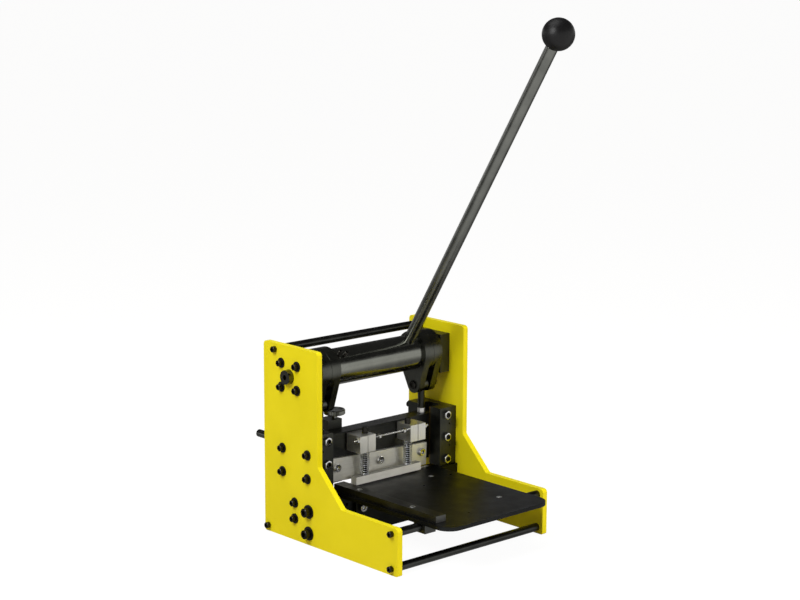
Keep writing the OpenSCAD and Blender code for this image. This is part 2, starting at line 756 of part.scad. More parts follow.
block_screw_xs = [for (x = block_x, i = [-1, 1]) x + i * block_w / 4];
block_screw_z = block_z + block_h / 3;
clamp_screw_x = clamp_x - clamp_w / 2 + clamp_screw_inset;
blade_screw_xs = [for (i = [-1:1]) i * blade_screw_share * blade_l];
function on_blade(x, rise) = upper_blade_z + rise / cos(rake) - x * tan(rake);
module ram() {
    color("#3a3c3d") difference() {
        slab(-leg_x + ram_end_gap, leg_x - ram_end_gap, ram_back, ram_front, ram_bottom, ram_top);
        for (side = [-1, 1]) mirrored(side)
            up(push_x, ram_middle, ram_top - push_stud_l - free_gap)
                cylinder(d = push_stud_d + screw_play, h = 2 * push_stud_l);
        for (x = blade_screw_xs)
            to_back(x, ram_front + ram_t, on_blade(x, blade_screw_rise))
                cylinder(d = blade_screw_d + screw_play, h = ram_t + screw_grip);
        for (x = block_screw_xs) {
            to_front(x, ram_back - ram_t, block_screw_z)
                cylinder(d = small_screw_d + screw_play, h = 3 * ram_t);
            to_front(x, ram_back - ram_t, block_screw_z)
                cylinder(d = small_head_d + 2 * screw_play, h = ram_t + small_head_h + free_gap);
        }
        to_front(gauge_x, ram_back - ram_t, gauge_z)
            cylinder(d = gauge_d + 2 * run_gap, h = ram_t + gauge_socket);
        for (z = clamp_screw_zs) to_front(clamp_screw_x, ram_back - ram_t, z)
            cylinder(d = small_screw_d + screw_play, h = ram_t + screw_grip);
    }
}

module guide_screw_holes() {
    for (p = guide_places)
        bar(small_screw_d + screw_play, inner_x - screw_grip, inner_x + screw_grip, p[0], p[1]);
}
// A back guide has a leg along the side plate, past the ram's end, up to the front guide
module back_guide() {
    difference() {
        union() {
            slab(guide_x, inner_x, back_guide_front - back_guide_t, back_guide_front, table_z, guide_top);
            slab(leg_x, inner_x, back_guide_front - back_guide_t, front_guide_back, table_z, guide_top);
        }
        guide_screw_holes();
        to_front(guide_x + back_screw_inset, back_guide_front - 2 * back_guide_t, back_screw_z)
            cylinder(d = small_screw_d + screw_play, h = back_guide_t + back_screw_l + free_gap);
    }
}
module left_back_guide() { color("#222423") mirrored(-1) back_guide(); }
module right_back_guide() { color("#222423") mirrored(1) back_guide(); }
module front_guide() {
    difference() {
        slab(guide_x, inner_x, front_guide_back, front_guide_front, table_z, guide_top);
        guide_screw_holes();
        for (z = gib_screw_zs)
            to_front(guide_x + gib_screw_inset, front_guide_back - front_guide_t, z)
                cylinder(d = push_stud_d + screw_play, h = 3 * front_guide_t);
        for (z = [dowel_z, dowel_z - gib_screw_pitch])
            to_back(guide_x + dowel_inset, front_guide_front + dowel_d, z)
                cylinder(d = dowel_d, h = 2 * dowel_d);
    }
}
module left_front_guide() { color("#2c2d28") mirrored(-1) front_guide(); }
module right_front_guide() { color("#2c2d28") mirrored(1) front_guide(); }
module gib() {
    slab(guide_x, leg_x - gib_inset, ram_front + run_gap, front_guide_back - run_gap,
         table_z + gib_inset, guide_top - gib_inset);
}
module left_gib() { color("goldenrod") mirrored(-1) gib(); }
module right_gib() { color("goldenrod") mirrored(1) gib(); }
gib_screw_l = front_guide_t + gib_nut_h + gib_screw_tip - run_gap;
module gib_screws() {
    color("#141414") for (side = [-1, 1], z = gib_screw_zs) mirrored(side)
        to_front(guide_x + gib_screw_inset, front_guide_back + run_gap, z) difference() {
            cylinder(d = push_stud_d, h = gib_screw_l);
            translate([0, 0, gib_screw_l / 2])
                cylinder(d = push_stud_d * socket_share * 2 / sqrt(3), h = gib_screw_l, $fn = 6);
        }
}
module gib_nuts() {
    color("silver") for (side = [-1, 1], z = gib_screw_zs) mirrored(side)
        to_front(guide_x + gib_screw_inset, front_guide_front, z)
            hex_nut(lock_nut_af, push_stud_d + screw_play, gib_nut_h);
}
module back_guide_screws() {
    color("#18191a") for (side = [-1, 1]) mirrored(side)
        to_back(guide_x + back_screw_inset, back_guide_front - back_guide_t, back_screw_z)
            small_screw(back_screw_l);
}

// The upper blade is parallel sided and hangs at the rake, so it meets the lower blade from the right
module upper_blade() {
    color("#c4c3bc") difference() {
        translate([0, y_of(blade_front), upper_blade_z]) rotate([0, rake, 0])
            translate([-blade_l / 2, 0, -upper_blade_h / 2]) cube([blade_l, blade_t, upper_blade_h]);
        for (x = blade_screw_xs)
            to_back(x, blade_front + blade_t, on_blade(x, blade_screw_rise))
                cylinder(d = blade_screw_d + screw_play, h = 3 * blade_t);
    }
}
module upper_blade_screws() {
    color("silver") for (x = blade_screw_xs)
        to_front(x, blade_front, on_blade(x, blade_screw_rise)) blade_screw(blade_t + screw_grip);
}
lower_screw_z = table_z - lower_blade_h / 2 - blade_screw_rise;
lower_screw_l = blade_t + bed_t / 2;
module lower_blade() {
    color("#b9b8b2") difference() {
        slab(-blade_l / 2, blade_l / 2, lower_blade_back, bed_back, table_z - lower_blade_h, table_z);
        for (x = blade_screw_xs) lower_blade_screw_hole(x);
    }
}
module lower_blade_screw_hole(x) {
    to_front(x, lower_blade_back - blade_t, lower_screw_z)
        cylinder(d = blade_head_d + screw_play, h = blade_t + blade_t / 2 + free_gap);
    to_front(x, lower_blade_back - blade_t, lower_screw_z)
        cylinder(d = blade_screw_d + screw_play, h = lower_screw_l + blade_t + free_gap);
}
// Low-headed screws sunk below the lower blade's face
module lower_blade_screws() {
    color("silver") for (x = blade_screw_xs)
        to_back(x, lower_blade_back + blade_t / 2 + free_gap, lower_screw_z)
            cap_screw(blade_screw_d, blade_head_d, blade_t / 2 - free_gap, lower_screw_l - blade_t);
}

module bed_beam() {
    color("#1d1e1f") difference() {
        slab(-inner_x, inner_x, bed_back, bed_front, bed_bottom_z, table_z);
        slab(-bed_end_x, bed_end_x, bed_back - bed_t, bed_front + bed_t, table_under, table_z + table_t);
        out_of_plates(bed_places, inner_x - screw_grip)
            cylinder(d = large_screw_d + screw_play, h = 2 * screw_grip);
        for (x = blade_screw_xs) {
            lower_blade_screw_hole(x);
            to_front(x, bed_back - bed_t, lower_screw_z) cylinder(d = blade_tap_d, h = 3 * bed_t);
        }
        bracket_screw_holes();
    }
}
module bed_screws() {
    color("#18191a") out_of_plates(bed_places, half_w + washer_t)
        large_screw(plate_t + screw_grip - washer_t);
}
module back_beam() {
    color("#1d1e1f") difference() {
        slab(-inner_x, inner_x, back_beam_depth - back_beam_t / 2, back_beam_depth + back_beam_t / 2,
             back_beam_z, back_beam_z + back_beam_h);
        out_of_plates(back_beam_places, inner_x - screw_grip)
            cylinder(d = small_screw_d + screw_play, h = 2 * screw_grip);
    }
}

// Screws through the table, as [x, depth]: two through the fence, two on the right
saddle_middle = base_depth - tie_front_inset;
fence_screws = [for (d = fence_screw_depths) [fence_x, d]];
right_screws = [[right_screw_x, right_screw_depth], [right_screw_x, saddle_middle]];
module table() {
    half = table_w / 2;
    color("#1b1c1d") difference() {
        translate([0, 0, table_z - table_t]) linear_extrude(table_t) polygon(rounded([
            [[-half, y_of(bed_back)], 0],
            [[half, y_of(bed_back)], 0],
            [[half, y_of(table_front)], table_corner_r],
            [[-half, y_of(table_front)], table_corner_r]
        ]));
        for (p = concat(fence_screws, right_screws)) screw_hole(p);
        for (p = right_screws) up(p[0], p[1], table_z - table_t / 2 - free_gap)
            cylinder(d = small_head_d + screw_play, h = table_t);
        for (i = [0:2]) up(tap_hole_shares[i] * half, tap_hole_depths[i], table_z - 2 * table_t)
            cylinder(d = tap_hole_d, h = 3 * table_t);
    }
}
module screw_hole(p) {
    up(p[0], p[1], table_z - table_screw_l - free_gap)
        cylinder(d = small_screw_d + screw_play, h = 3 * table_screw_l);
}
module fence() {
    color("#26282a") difference() {
        slab(fence_x - fence_w / 2, fence_x + fence_w / 2, fence_back, fence_front,
             table_z, table_z + fence_h);
        for (p = fence_screws) {
            screw_hole(p);
            up(p[0], p[1], table_z + fence_h - small_head_h)
                cylinder(d = small_head_d + 2 * screw_play, h = fence_h);
        }
    }
}
module table_screws() {
    color("#5a5c5e") {
        for (p = fence_screws) up(p[0], p[1], table_z + fence_h - small_head_h)
            small_screw(fence_h - small_head_h + table_t);
        for (p = right_screws) up(p[0], p[1], table_z - table_t / 2)
            cap_screw(small_screw_d, small_head_d, table_t / 2, table_screw_l - table_t / 2);
    }
}
// An angle bracket on the bed beam's front carries the table's back part
bracket_screw_x = bracket_w / 2 - bracket_screw_inset;
module bracket_screw_holes() {
    for (side = [-1, 1]) to_back(side * bracket_screw_x, bed_front + 2 * bracket_t, bracket_screw_z)
        cylinder(d = blade_screw_d + screw_play, h = 2 * bracket_t + bracket_screw_l + free_gap);
}
module table_bracket() {
    color("#1f2021") difference() {
        slab(-bracket_w / 2, bracket_w / 2, bed_front, bed_front + bracket_reach, bracket_z, table_under);
        slab(-bracket_w, bracket_w, bed_front + bracket_t, bed_front + 2 * bracket_reach,
             bracket_z - bracket_t, table_under - bracket_t);
        bracket_screw_holes();
        up(right_screw_x, right_screw_depth, table_under - 2 * bracket_t)
            cylinder(d = small_screw_d + screw_play, h = 3 * bracket_t);
    }
}
module bracket_screws() {
    color("silver") for (side = [-1, 1]) {
        to_front(side * bracket_screw_x, bed_front + bracket_t, bracket_screw_z)
            ring(bracket_washer_d, blade_screw_d + screw_play, washer_t);
        to_front(side * bracket_screw_x, bed_front + bracket_t + washer_t, bracket_screw_z)
            blade_screw(washer_t + bracket_t + bracket_screw_l);
    }
}
module tie_rod_saddles() {
    color("#2a2b2c") difference() {
        for (x = [fence_x, right_screw_x])
            slab(x - saddle_w / 2, x + saddle_w / 2, saddle_middle - saddle_depth / 2,
                 saddle_middle + saddle_depth / 2, table_under - saddle_h, table_under);
        bar(tie_d + 2 * run_gap, -inner_x, inner_x, saddle_middle, tie_shelf_z);
        slab(-inner_x, inner_x, saddle_middle - tie_d / 2 - run_gap, saddle_middle + tie_d / 2 + run_gap,
             tie_shelf_z, table_under + saddle_h);
    }
}

// A hold-down block is slit through its front wall, between the screw holes
module hold_down_block(i) {
    x = block_x[i];
    difference() {
        up(x, ram_front, block_z) linear_extrude(block_h) polygon(rounded([
            [[-block_w / 2, 0], block_r],
            [[block_w / 2, 0], block_r],
            [[block_w / 2, -block_depth], 0],
            [[-block_w / 2, -block_depth], 0]
        ]));
        up(hold_rod_x[i], hold_rod_depth, block_z - block_h)
            cylinder(d = hold_rod_d + 2 * run_gap, h = 3 * block_h);
        up(hold_rod_x[i], hold_rod_depth, block_top - hold_bore_depth)
            cylinder(d = small_head_d + 2 * free_gap, h = 2 * hold_bore_depth);
        slab(x - slit_w / 2, x + slit_w / 2, cross_depth - cross_d, block_front + slit_w,
             block_z - block_h, block_top + block_h);
        bar(cross_d + screw_play, x - block_w, x + block_w, cross_depth, cross_z);
        for (sx = block_screw_xs)
            to_front(sx, ram_front - block_depth, block_screw_z)
                cylinder(d = small_screw_d + screw_play, h = block_depth + block_screw_l + free_gap);
    }
}
module left_hold_down_block() { color("#cfcfc8") hold_down_block(0); }
module right_hold_down_block() { color("#cfcfc8") hold_down_block(1); }
module hold_down_block_screws() {
    color("#18191a") for (x = block_screw_xs)
        to_back(x, ram_back + small_head_h, block_screw_z) small_screw(ram_t - small_head_h + block_screw_l);
}
cross_left = block_x[0] - block_w / 2;
cross_right = block_x[1] + block_w / 2;
module cross_rod() {
    color("silver") bar(cross_d, cross_left - cross_nut_h - cross_tail,
                        cross_right + cross_nut_h + cross_tail, cross_depth, cross_z);
}
module cross_rod_nuts() {
    color("silver") {
        for (x = [cross_left - cross_nut_h, cross_left + block_w + cross_inner_gap])
            to_right(x, cross_depth, cross_z) hex_nut(cross_nut_af, cross_d + screw_play, cross_nut_h);
        for (x = [cross_right + cross_nut_h, cross_right - block_w - cross_inner_gap])
            to_left(x, cross_depth, cross_z) hex_nut(cross_nut_af, cross_d + screw_play, cross_nut_h);
    }
}
module hold_down_foot() {
    color("#cfcfc8") difference() {
        slab(foot_x - foot_l / 2, foot_x + foot_l / 2, hold_rod_depth - foot_depth / 2,
             hold_rod_depth + foot_depth / 2, foot_z, foot_top);
        for (x = hold_rod_x) up(x, hold_rod_depth, foot_z + foot_h / 4)
            cylinder(d = hold_rod_d + 2 * run_gap, h = foot_h);
    }
}
module hold_down_rods() {
    head_z = block_top - hold_bore_depth + hold_head_gap;
    color("#303234") for (x = hold_rod_x) up(x, hold_rod_depth, head_z)
        cap_screw(hold_rod_d, small_head_d, hold_head_h, head_z - foot_z - foot_h / 4 - run_gap);
}

// A spring is one helical tube whose ends run straight up and down for one wire diameter
spring_sides = 6;
rings_per_turn = 8;
spring_r = (spring_d - wire_d) / 2;
spring_low = foot_top + free_gap;
coil_h = block_z - free_gap - spring_low - 2 * wire_d;
ring_count = spring_turns * rings_per_turn;
// Centre, turn angle and tube direction of each ring along the wire
climb = atan2(coil_h / spring_turns, 2 * PI * spring_r);
function coil_point(i) =
    let (a = 360 * i / rings_per_turn)
    [spring_r * cos(a), spring_r * sin(a), spring_low + wire_d + coil_h * i / ring_count];
spring_path = concat(
    [[coil_point(0) - [0, 0, wire_d], 0, 90]],
    [for (i = [0:ring_count])
        [coil_point(i), 360 * i / rings_per_turn, i == 0 || i == ring_count ? (90 + climb) / 2 : climb]],
    [[coil_point(ring_count) + [0, 0, wire_d], 0, 90]]
);
function ring_points(s) =
    let (a = s[1], t = s[2], out = [cos(a), sin(a), 0],
         side = [sin(t) * sin(a), -sin(t) * cos(a), cos(t)])
    [for (k = [0:spring_sides - 1])
        let (b = 360 * k / spring_sides) s[0] + wire_d / 2 * (out * cos(b) + side * sin(b))];
spring_points = [for (s = spring_path) each ring_points(s)];
spring_rings = len(spring_path);
function ring_index(i, k) = i * spring_sides + (k % spring_sides);
spring_faces = concat(
    [for (k = [1:spring_sides - 2]) [0, k + 1, k]],
    [for (i = [0:spring_rings - 2], k = [0:spring_sides - 1])
        each [[ring_index(i, k), ring_index(i, k + 1), ring_index(i + 1, k)],
              [ring_index(i, k + 1), ring_index(i + 1, k + 1), ring_index(i + 1, k)]]],
    [for (k = [1:spring_sides - 2])
        [ring_index(spring_rings - 1, 0), ring_index(spring_rings - 1, k), ring_index(spring_rings - 1, k + 1)]]
);
// Least gap between neighbouring turns, measured on points of the wire's centre line
next_turn_gap = min([for (i = [0:ring_count - rings_per_turn])
    norm(coil_point(i + rings_per_turn) - coil_point(i)) - wire_d]);
echo(least_gap_in_spring = next_turn_gap);
module spring(x) {
    color("#8a8c8e") up(x, hold_rod_depth, 0) polyhedron(points = spring_points, faces = spring_faces);
}
module left_spring() { spring(hold_rod_x[0]); }
module right_spring() { spring(hold_rod_x[1]); }

// The clamp block guides the gauge rod, and the thumb screw stands over the rod
module gauge_clamp() {
    color("#2f3130") difference() {
        up(clamp_x, clamp_back, clamp_z) linear_extrude(clamp_top - clamp_z) polygon(rounded([
            [[-clamp_w / 2, 0], clamp_r],
            [[clamp_w / 2, 0], clamp_r],
            [[clamp_w / 2, -clamp_depth], 0],
            [[-clamp_w / 2, -clamp_depth], 0]
        ]));
        to_front(gauge_x, clamp_back - clamp_depth, gauge_z)
            cylinder(d = gauge_d + 2 * run_gap, h = 3 * clamp_depth);
        up(gauge_x, thumb_depth, gauge_z) cylinder(d = thumb_screw_d + 2 * run_gap, h = clamp_top);
        for (z = clamp_screw_zs) to_front(clamp_screw_x, clamp_back - clamp_depth, z)
            cylinder(d = small_screw_d + screw_play, h = 3 * clamp_depth);
    }
}
module gauge_clamp_screws() {
    color("#18191a") for (z = clamp_screw_zs)
        to_back(clamp_screw_x, clamp_back, z) small_screw(clamp_depth + screw_grip - free_gap);
}
module gauge_rod() {
    color("#232425") to_back(gauge_x, gauge_front, gauge_z)
        cylinder(d = gauge_d, h = gauge_front + gauge_tail);
}
module gauge_stop() {
    color("#2f3130") difference() {
        up(clamp_x, -stop_back, 0) rotate([90, 0, 0]) translate([0, 0, -stop_t]) linear_extrude(stop_t)
            polygon(rounded([
                [[-stop_w / 2, stop_z], stop_r],
                [[stop_w / 2, stop_z], stop_r],
                [[stop_w / 2, stop_top], stop_r],
                [[-stop_w / 2, stop_top], stop_r]
            ]));
        to_back(gauge_x, -stop_back + stop_t, gauge_z) cylinder(d = gauge_d + 2 * run_gap, h = 3 * stop_t);
    }
}
module thumb_screw() {
    tip_z = gauge_z + gauge_d / 2 + free_gap;
    color("#26282a") {
        up(gauge_x, thumb_depth, tip_z) cylinder(d = thumb_screw_d, h = thumb_z - tip_z + thumb_h / 2);
        up(gauge_x, thumb_depth, clamp_top + free_gap) cylinder(d = thumb_collar_d, h = thumb_z - clamp_top);
        up(gauge_x, thumb_depth, thumb_z) cylinder(d = thumb_d, h = thumb_h);
    }
}

left_side_plate();
right_side_plate();
tie_rods();
left_bearing_block();
right_bearing_block();
bearing_bushes();
plate_screws();
plate_washers();
eccentric_shaft();
thrust_collars();
shaft_set_screws();
lever();
ball_knob();
left_connecting_rod();
right_connecting_rod();
left_pin_bolt();
right_pin_bolt();
left_pin_nut();
right_pin_nut();
ram();
left_push_rod();
right_push_rod();
push_rod_nuts();
left_back_guide();
right_back_guide();
left_front_guide();
right_front_guide();
left_gib();
right_gib();
gib_screws();
gib_nuts();
back_guide_screws();
upper_blade();
upper_blade_screws();
lower_blade();
lower_blade_screws();
bed_beam();
bed_screws();
back_beam();
table();
fence();
table_screws();
table_bracket();
bracket_screws();
tie_rod_saddles();
left_hold_down_block();
right_hold_down_block();
hold_down_block_screws();
cross_rod();
cross_rod_nuts();
hold_down_foot();
hold_down_rods();
left_spring();
right_spring();
gauge_clamp();
gauge_clamp_screws();
gauge_rod();
gauge_stop();
thumb_screw();
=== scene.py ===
# %% [markdown]
# # A bench guillotine shear, dressed for its photograph
# The construction is already solid: two plates, an eccentric shaft, a ram in its guides and a table.
# This lesson adds what machining, plating and paint give it: broken edges, knurled screw heads, threads,
# real springs, and finishes that answer light as black oxide, ground steel, brass and enamel do.

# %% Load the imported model
import math

import bmesh
import bpy
from mathutils import Matrix, Vector


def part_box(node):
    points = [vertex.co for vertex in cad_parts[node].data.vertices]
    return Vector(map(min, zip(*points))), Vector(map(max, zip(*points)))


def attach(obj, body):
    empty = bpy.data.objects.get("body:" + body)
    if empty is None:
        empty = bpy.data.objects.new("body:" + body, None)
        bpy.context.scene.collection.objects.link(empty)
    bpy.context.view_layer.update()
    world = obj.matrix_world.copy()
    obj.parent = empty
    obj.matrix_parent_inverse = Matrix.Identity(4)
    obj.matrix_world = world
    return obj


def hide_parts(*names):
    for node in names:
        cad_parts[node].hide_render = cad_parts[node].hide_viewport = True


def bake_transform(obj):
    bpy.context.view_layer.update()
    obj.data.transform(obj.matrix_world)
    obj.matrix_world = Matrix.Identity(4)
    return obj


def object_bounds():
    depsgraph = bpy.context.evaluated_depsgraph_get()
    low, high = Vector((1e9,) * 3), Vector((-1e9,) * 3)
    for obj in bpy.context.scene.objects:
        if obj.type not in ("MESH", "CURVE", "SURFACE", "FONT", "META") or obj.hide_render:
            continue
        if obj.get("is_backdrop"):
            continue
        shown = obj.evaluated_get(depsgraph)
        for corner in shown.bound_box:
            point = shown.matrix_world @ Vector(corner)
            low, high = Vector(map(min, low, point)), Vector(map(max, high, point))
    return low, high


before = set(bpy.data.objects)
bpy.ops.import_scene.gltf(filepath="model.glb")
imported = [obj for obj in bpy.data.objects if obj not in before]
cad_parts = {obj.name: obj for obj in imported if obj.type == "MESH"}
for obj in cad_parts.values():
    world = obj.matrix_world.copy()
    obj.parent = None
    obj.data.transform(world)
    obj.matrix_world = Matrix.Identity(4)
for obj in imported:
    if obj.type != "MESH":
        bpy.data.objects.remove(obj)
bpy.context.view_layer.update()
mm = 0.001

# %% [markdown]
# ## Camera
# The photograph was taken from the operator's left, from a little above the ball knob, with a long lens.
# A short lens close by would give the same frame, but its perspective would splay the plates' edges. They
# are nearly parallel in the photograph, so the camera stands about three metres away.

# %% Camera
lens_mm, sensor_mm = 86.2, 36
azimuth, elevation, roll = -42.31, 10.85, 0.25
camera_place = (-1.9518, -2.1428, 0.9238)

camera = bpy.data.objects.new("camera", bpy.data.cameras.new("camera"))
bpy.context.scene.collection.objects.link(camera)
bpy.context.scene.camera = camera
camera.data.lens = lens_mm
camera.data.sensor_width = sensor_mm
camera_turn = (
    Matrix.Rotation(math.radians(azimuth), 4, "Z")
    @ Matrix.Rotation(math.radians(90 - elevation), 4, "X")
    @ Matrix.Rotation(math.radians(roll), 4, "Z")
)
camera.matrix_world = Matrix.Translation(camera_place) @ camera_turn
print("camera distance in m:", round(camera.location.length, 2))

# %% [markdown]
# ## Colours and nodes
# Colours are written as sRGB hex, as a paint chart gives them, and one function turns them to linear.
# A node tree could be put together by hand in the editor, but a script builds it the same each time. One
# small function adds a node, fills its sockets, links what is passed as a socket and sets a ramp's stops.

# %% Colour and node helpers
def linear(code):
    """Turns an sRGB hex code into the linear colour, with alpha, that a socket takes."""
    parts = [int(code[i : i + 2], 16) / 255 for i in (1, 3, 5)]
    return [c / 12.92 if c <= 0.04045 else ((c + 0.055) / 1.055) ** 2.4 for c in parts] + [1]


def emptied(holder):
    """Gives a material or a world an empty node tree."""
    holder.use_nodes = True
    holder.node_tree.nodes.clear()
    return holder.node_tree


def add(tree, kind, sockets=None, stops=(), **settings):
    """Adds a node. sockets holds values and links by name, stops a ramp's pairs of position and colour."""
    made = tree.nodes.new(kind)
    for name, value in settings.items():
        setattr(made, name, value)
    for name, value in (sockets or {}).items():
        if isinstance(value, bpy.types.NodeSocket):
            tree.links.new(value, made.inputs[name])
        else:
            made.inputs[name].default_value = value
    for count, (position, colour) in enumerate(stops):
        ramp = made.color_ramp.elements
        stop = ramp[count] if count < len(ramp) else ramp.new(position)
        stop.position, stop.color = position, colour
    return made


def per_mm(size):
    """A Noise texture of scale 1 has features about 1 m across, so features of size mm need this scale."""
    return 1 / (size * mm)


print("a yellow in linear light:", [round(c, 3) for c in linear("#E9DB12")])

# %% [markdown]
# ## Machined steel under black oxide
# Hot blacking turns the surface of steel into magnetite a micron thick. It keeps every tool mark, so the
# colour is an uneven near-black and the gloss follows the milling. A photograph of such steel could be laid
# on, but it would repeat. One material maker gives each piece its own depth of black and its own direction
# of cut instead: the marks are noise stretched along one axis, over larger clouds.

# %% Material maker for machined metal
# Real milling marks are a few tenths of a millimetre wide. They are drawn as coarse as they need to show.
mark_width, mark_depth = 0.9, 0.04
# Nearly all of a Noise texture's values lie between these two. The light tone is reached a little later.
noise_low, noise_high, light_from = 0.3, 0.7, 0.72
# How far the roughness drifts to either side of its middle.
glossier, duller = 0.06, 0.08


def machined(name, dark, light, rough, grain, marks=0.35, bump=0.12, blotch=22, metal=1.0):
    """A small number in grain runs the tool marks along that one of X, Y and Z. marks is their share of the
    mix of marks and clouds, which goes from dark to light, and blotch is the size of the clouds in mm.
    bump is the strength of the marks, and rough the middle of the roughness."""
    material = bpy.data.materials.new(name)
    tree = emptied(material)
    place = add(tree, "ShaderNodeTexCoord").outputs["Object"]
    along = add(tree, "ShaderNodeMapping", {"Vector": place, "Scale": grain}).outputs[0]
    lines = add(
        tree, "ShaderNodeTexNoise",
        {"Vector": along, "Scale": per_mm(mark_width), "Detail": 3, "Roughness": 0.6},
    ).outputs["Fac"]
    clouds = add(
        tree, "ShaderNodeTexNoise",
        {"Vector": place, "Scale": per_mm(blotch), "Detail": 4, "Roughness": 0.55},
    ).outputs["Fac"]
    both = add(
        tree, "ShaderNodeMix", {"Factor": marks, "A": clouds, "B": lines}, data_type="FLOAT",
    ).outputs[0]
    colour = add(
        tree, "ShaderNodeValToRGB", {"Fac": both},
        [(noise_low, linear(dark)), (light_from, linear(light))],
    )
    gloss = add(tree, "ShaderNodeMapRange", {
        "Value": both, "From Min": noise_low, "From Max": noise_high,
        "To Min": rough - glossier, "To Max": rough + duller,
    })
    dents = add(tree, "ShaderNodeBump", {"Strength": bump, "Distance": mark_depth * mm, "Height": lines})
    skin = add(tree, "ShaderNodeBsdfPrincipled", {
        "Base Color": colour.outputs[0], "Metallic": metal, "Roughness": gloss.outputs[0],
        "Normal": dents.outputs[0],
    })
    add(tree, "ShaderNodeOutputMaterial", {"Surface": skin.outputs[0]})
    return material


def recoloured(material, output, axis, limit, colour):
    """Gives another colour where a coordinate or normal reaches past the limit, on either side."""
    tree = material.node_tree
    skin = next(n for n in tree.nodes if n.type == "BSDF_PRINCIPLED")
    plain = skin.inputs["Base Color"].links[0].from_socket
    parts = add(tree, "ShaderNodeSeparateXYZ", {0: add(tree, "ShaderNodeTexCoord").outputs[output]})
    reach = add(tree, "ShaderNodeMath", {0: parts.outputs[axis]}, operation="ABSOLUTE")
    past = add(tree, "ShaderNodeMath", {0: reach.outputs[0], 1: limit}, operation="GREATER_THAN")
    mixed = add(
        tree, "ShaderNodeMix", {"Factor": past.outputs[0], "A": plain, "B": linear(colour)},
        data_type="RGBA",
    )
    tree.links.new(mixed.outputs[2], skin.inputs["Base Color"])


print("tool marks in mm:", mark_width)

# %% [markdown]
# ## The blacks of the machine
# Drawn and flat bar keep the dull skin of the mill. The polished lever and the turned shaft take a thin,
# glossy oxide that looks grey where it mirrors the studio, and the ground ram, the ground table and the
# sawn bed are the darkest; the bed beam and the table bracket are painted that dark as painted shade, for
# the table's shadow over them. One black for all would be quicker, but to the eye they differ by gloss as
# much as by tone, so each has its own pair of tones and its own roughness.

# %% Black finishes
along_x, along_y, along_z = (0.03, 1, 1), (1, 0.03, 1), (1, 1, 0.03)
round_x, every_way = (1, 0.3, 0.3), (1, 1, 1)
# The shaft's thick body ends this far from the middle plane, and a face looks along an axis when its normal
# is nearer to it than this cosine.
body_end, facing = 127 * mm, 0.9

black_rod = machined("black oxide on drawn bar", "#3C3D3A", "#525350", 0.34, along_x)
black_lever = machined(
    "black oxide on polished bar", "#666763", "#7A7B76", 0.26, along_z, marks=0.12, bump=0.03,
)
black_block = machined("black oxide on milled block", "#3E3F3B", "#53544D", 0.42, along_z)
black_beam = machined("black oxide on flat bar", "#464745", "#5A5B57", 0.42, along_x)
# The bed beam and the table bracket are painted near-black: painted shade for the table's shadow over them.
black_bed_painted_shade = machined("black oxide on sawn bar, painted shade", "#262725", "#343532", 0.45, along_x)
black_fence = machined("black oxide on milled fence", "#3C3C3A", "#4B4B48", 0.36, along_y)
black_ram = machined("black oxide on ground ram", "#2E2F2E", "#444543", 0.38, along_x)
black_table = machined(
    "black oxide on ground sheet", "#232424", "#2E2F2E", 0.42, along_x, marks=0.12, bump=0.04,
)
black_shaft = machined("black oxide on turned shaft", "#74756E", "#86877F", 0.17, round_x, bump=0.05)
black_link = machined("black oxide on milled links", "#4A4B46", "#60615A", 0.30, along_z)
black_screw = machined("black oxide on screws", "#2F2E2B", "#403E39", 0.36, every_way, blotch=5)

# The shaft's journals were never polished, so they stay a dull black past the thick body. The fence's ends
# were sawn after blacking, so they are lighter than its sides.
recoloured(black_shaft, "Object", "X", body_end, "#5C5B56")
recoloured(black_fence, "Normal", "Y", facing, "#8A8A85")
print("black finishes:", sum(m.name.startswith("black oxide") for m in bpy.data.materials))

# %% [markdown]
# ## Bright metals
# Ground steel is pale grey and streaked along the grinder's travel, chrome is smooth and mirrors the
# studio, zinc is duller, and brass and bronze are yellow metals cut by a mill or a lathe. They share the
# same maker, since they differ only in colour, gloss and the direction of the marks. Fine grinding scatters
# light almost as paint does, so the ground pieces are a little less than metallic.

# %% Bright metals
ground_steel = machined(
    "surface ground steel", "#DCDBD1", "#F2F1E9", 0.38, along_x, marks=0.6, bump=0.15, metal=0.78,
)
ground_bar = machined(
    "ground flat bar", "#E4E3DA", "#F8F7F0", 0.45, along_x, marks=0.5, bump=0.15, metal=0.55,
)
ground_block = machined(
    "ground steel block", "#DAD9D1", "#F0EFE8", 0.36, along_z, marks=0.5, bump=0.15, metal=0.95,
)
chrome_plate = machined(
    "bright chrome plate", "#C8C8C6", "#E4E4E2", 0.18, every_way, marks=0.2, bump=0.04, blotch=6,
)
white_zinc = machined(
    "white zinc plate", "#D6D6D2", "#EDEDEA", 0.34, every_way, marks=0.3, bump=0.08, blotch=6, metal=0.7,
)
dull_zinc = machined("dull grey zinc", "#C2C3C1", "#DCDCD9", 0.38, every_way, marks=0.3, bump=0.1, blotch=6)
spring_wire = machined(
    "drawn spring wire", "#C8CACC", "#E6E8EA", 0.3, every_way, marks=0.1, bump=0, blotch=8,
)
gib_brass = machined("milled brass", "#6A5628", "#8C7440", 0.34, along_z, marks=0.5, bump=0.12)
bush_bronze = machined("turned bronze", "#8A5A32", "#B07A48", 0.34, along_x, marks=0.4, bump=0.1)

# The hold-down foot is ground; its upper side is painted darker, as painted shade on the face that looks
# up.
recoloured(ground_bar, "Normal", "Z", facing, "#9B9A93")
print("materials so far, with the solids' own:", len(bpy.data.materials))

# %% [markdown]
# ## Yellow enamel
# The side plates are sprayed with a bright yellow enamel over cut plate. Sprayed enamel dries with a faint
# orange peel, about 2 mm from crest to crest, which softens what it mirrors. It could be modelled with
# displacement, but it is so shallow that a bump shows it. It is a dielectric, not a metal, and its specular
# level is under the usual half, because the photograph shows hardly any glare on it.

# %% Yellow enamel
peel_size, peel_depth, drift_size = 2, 0.06, 70

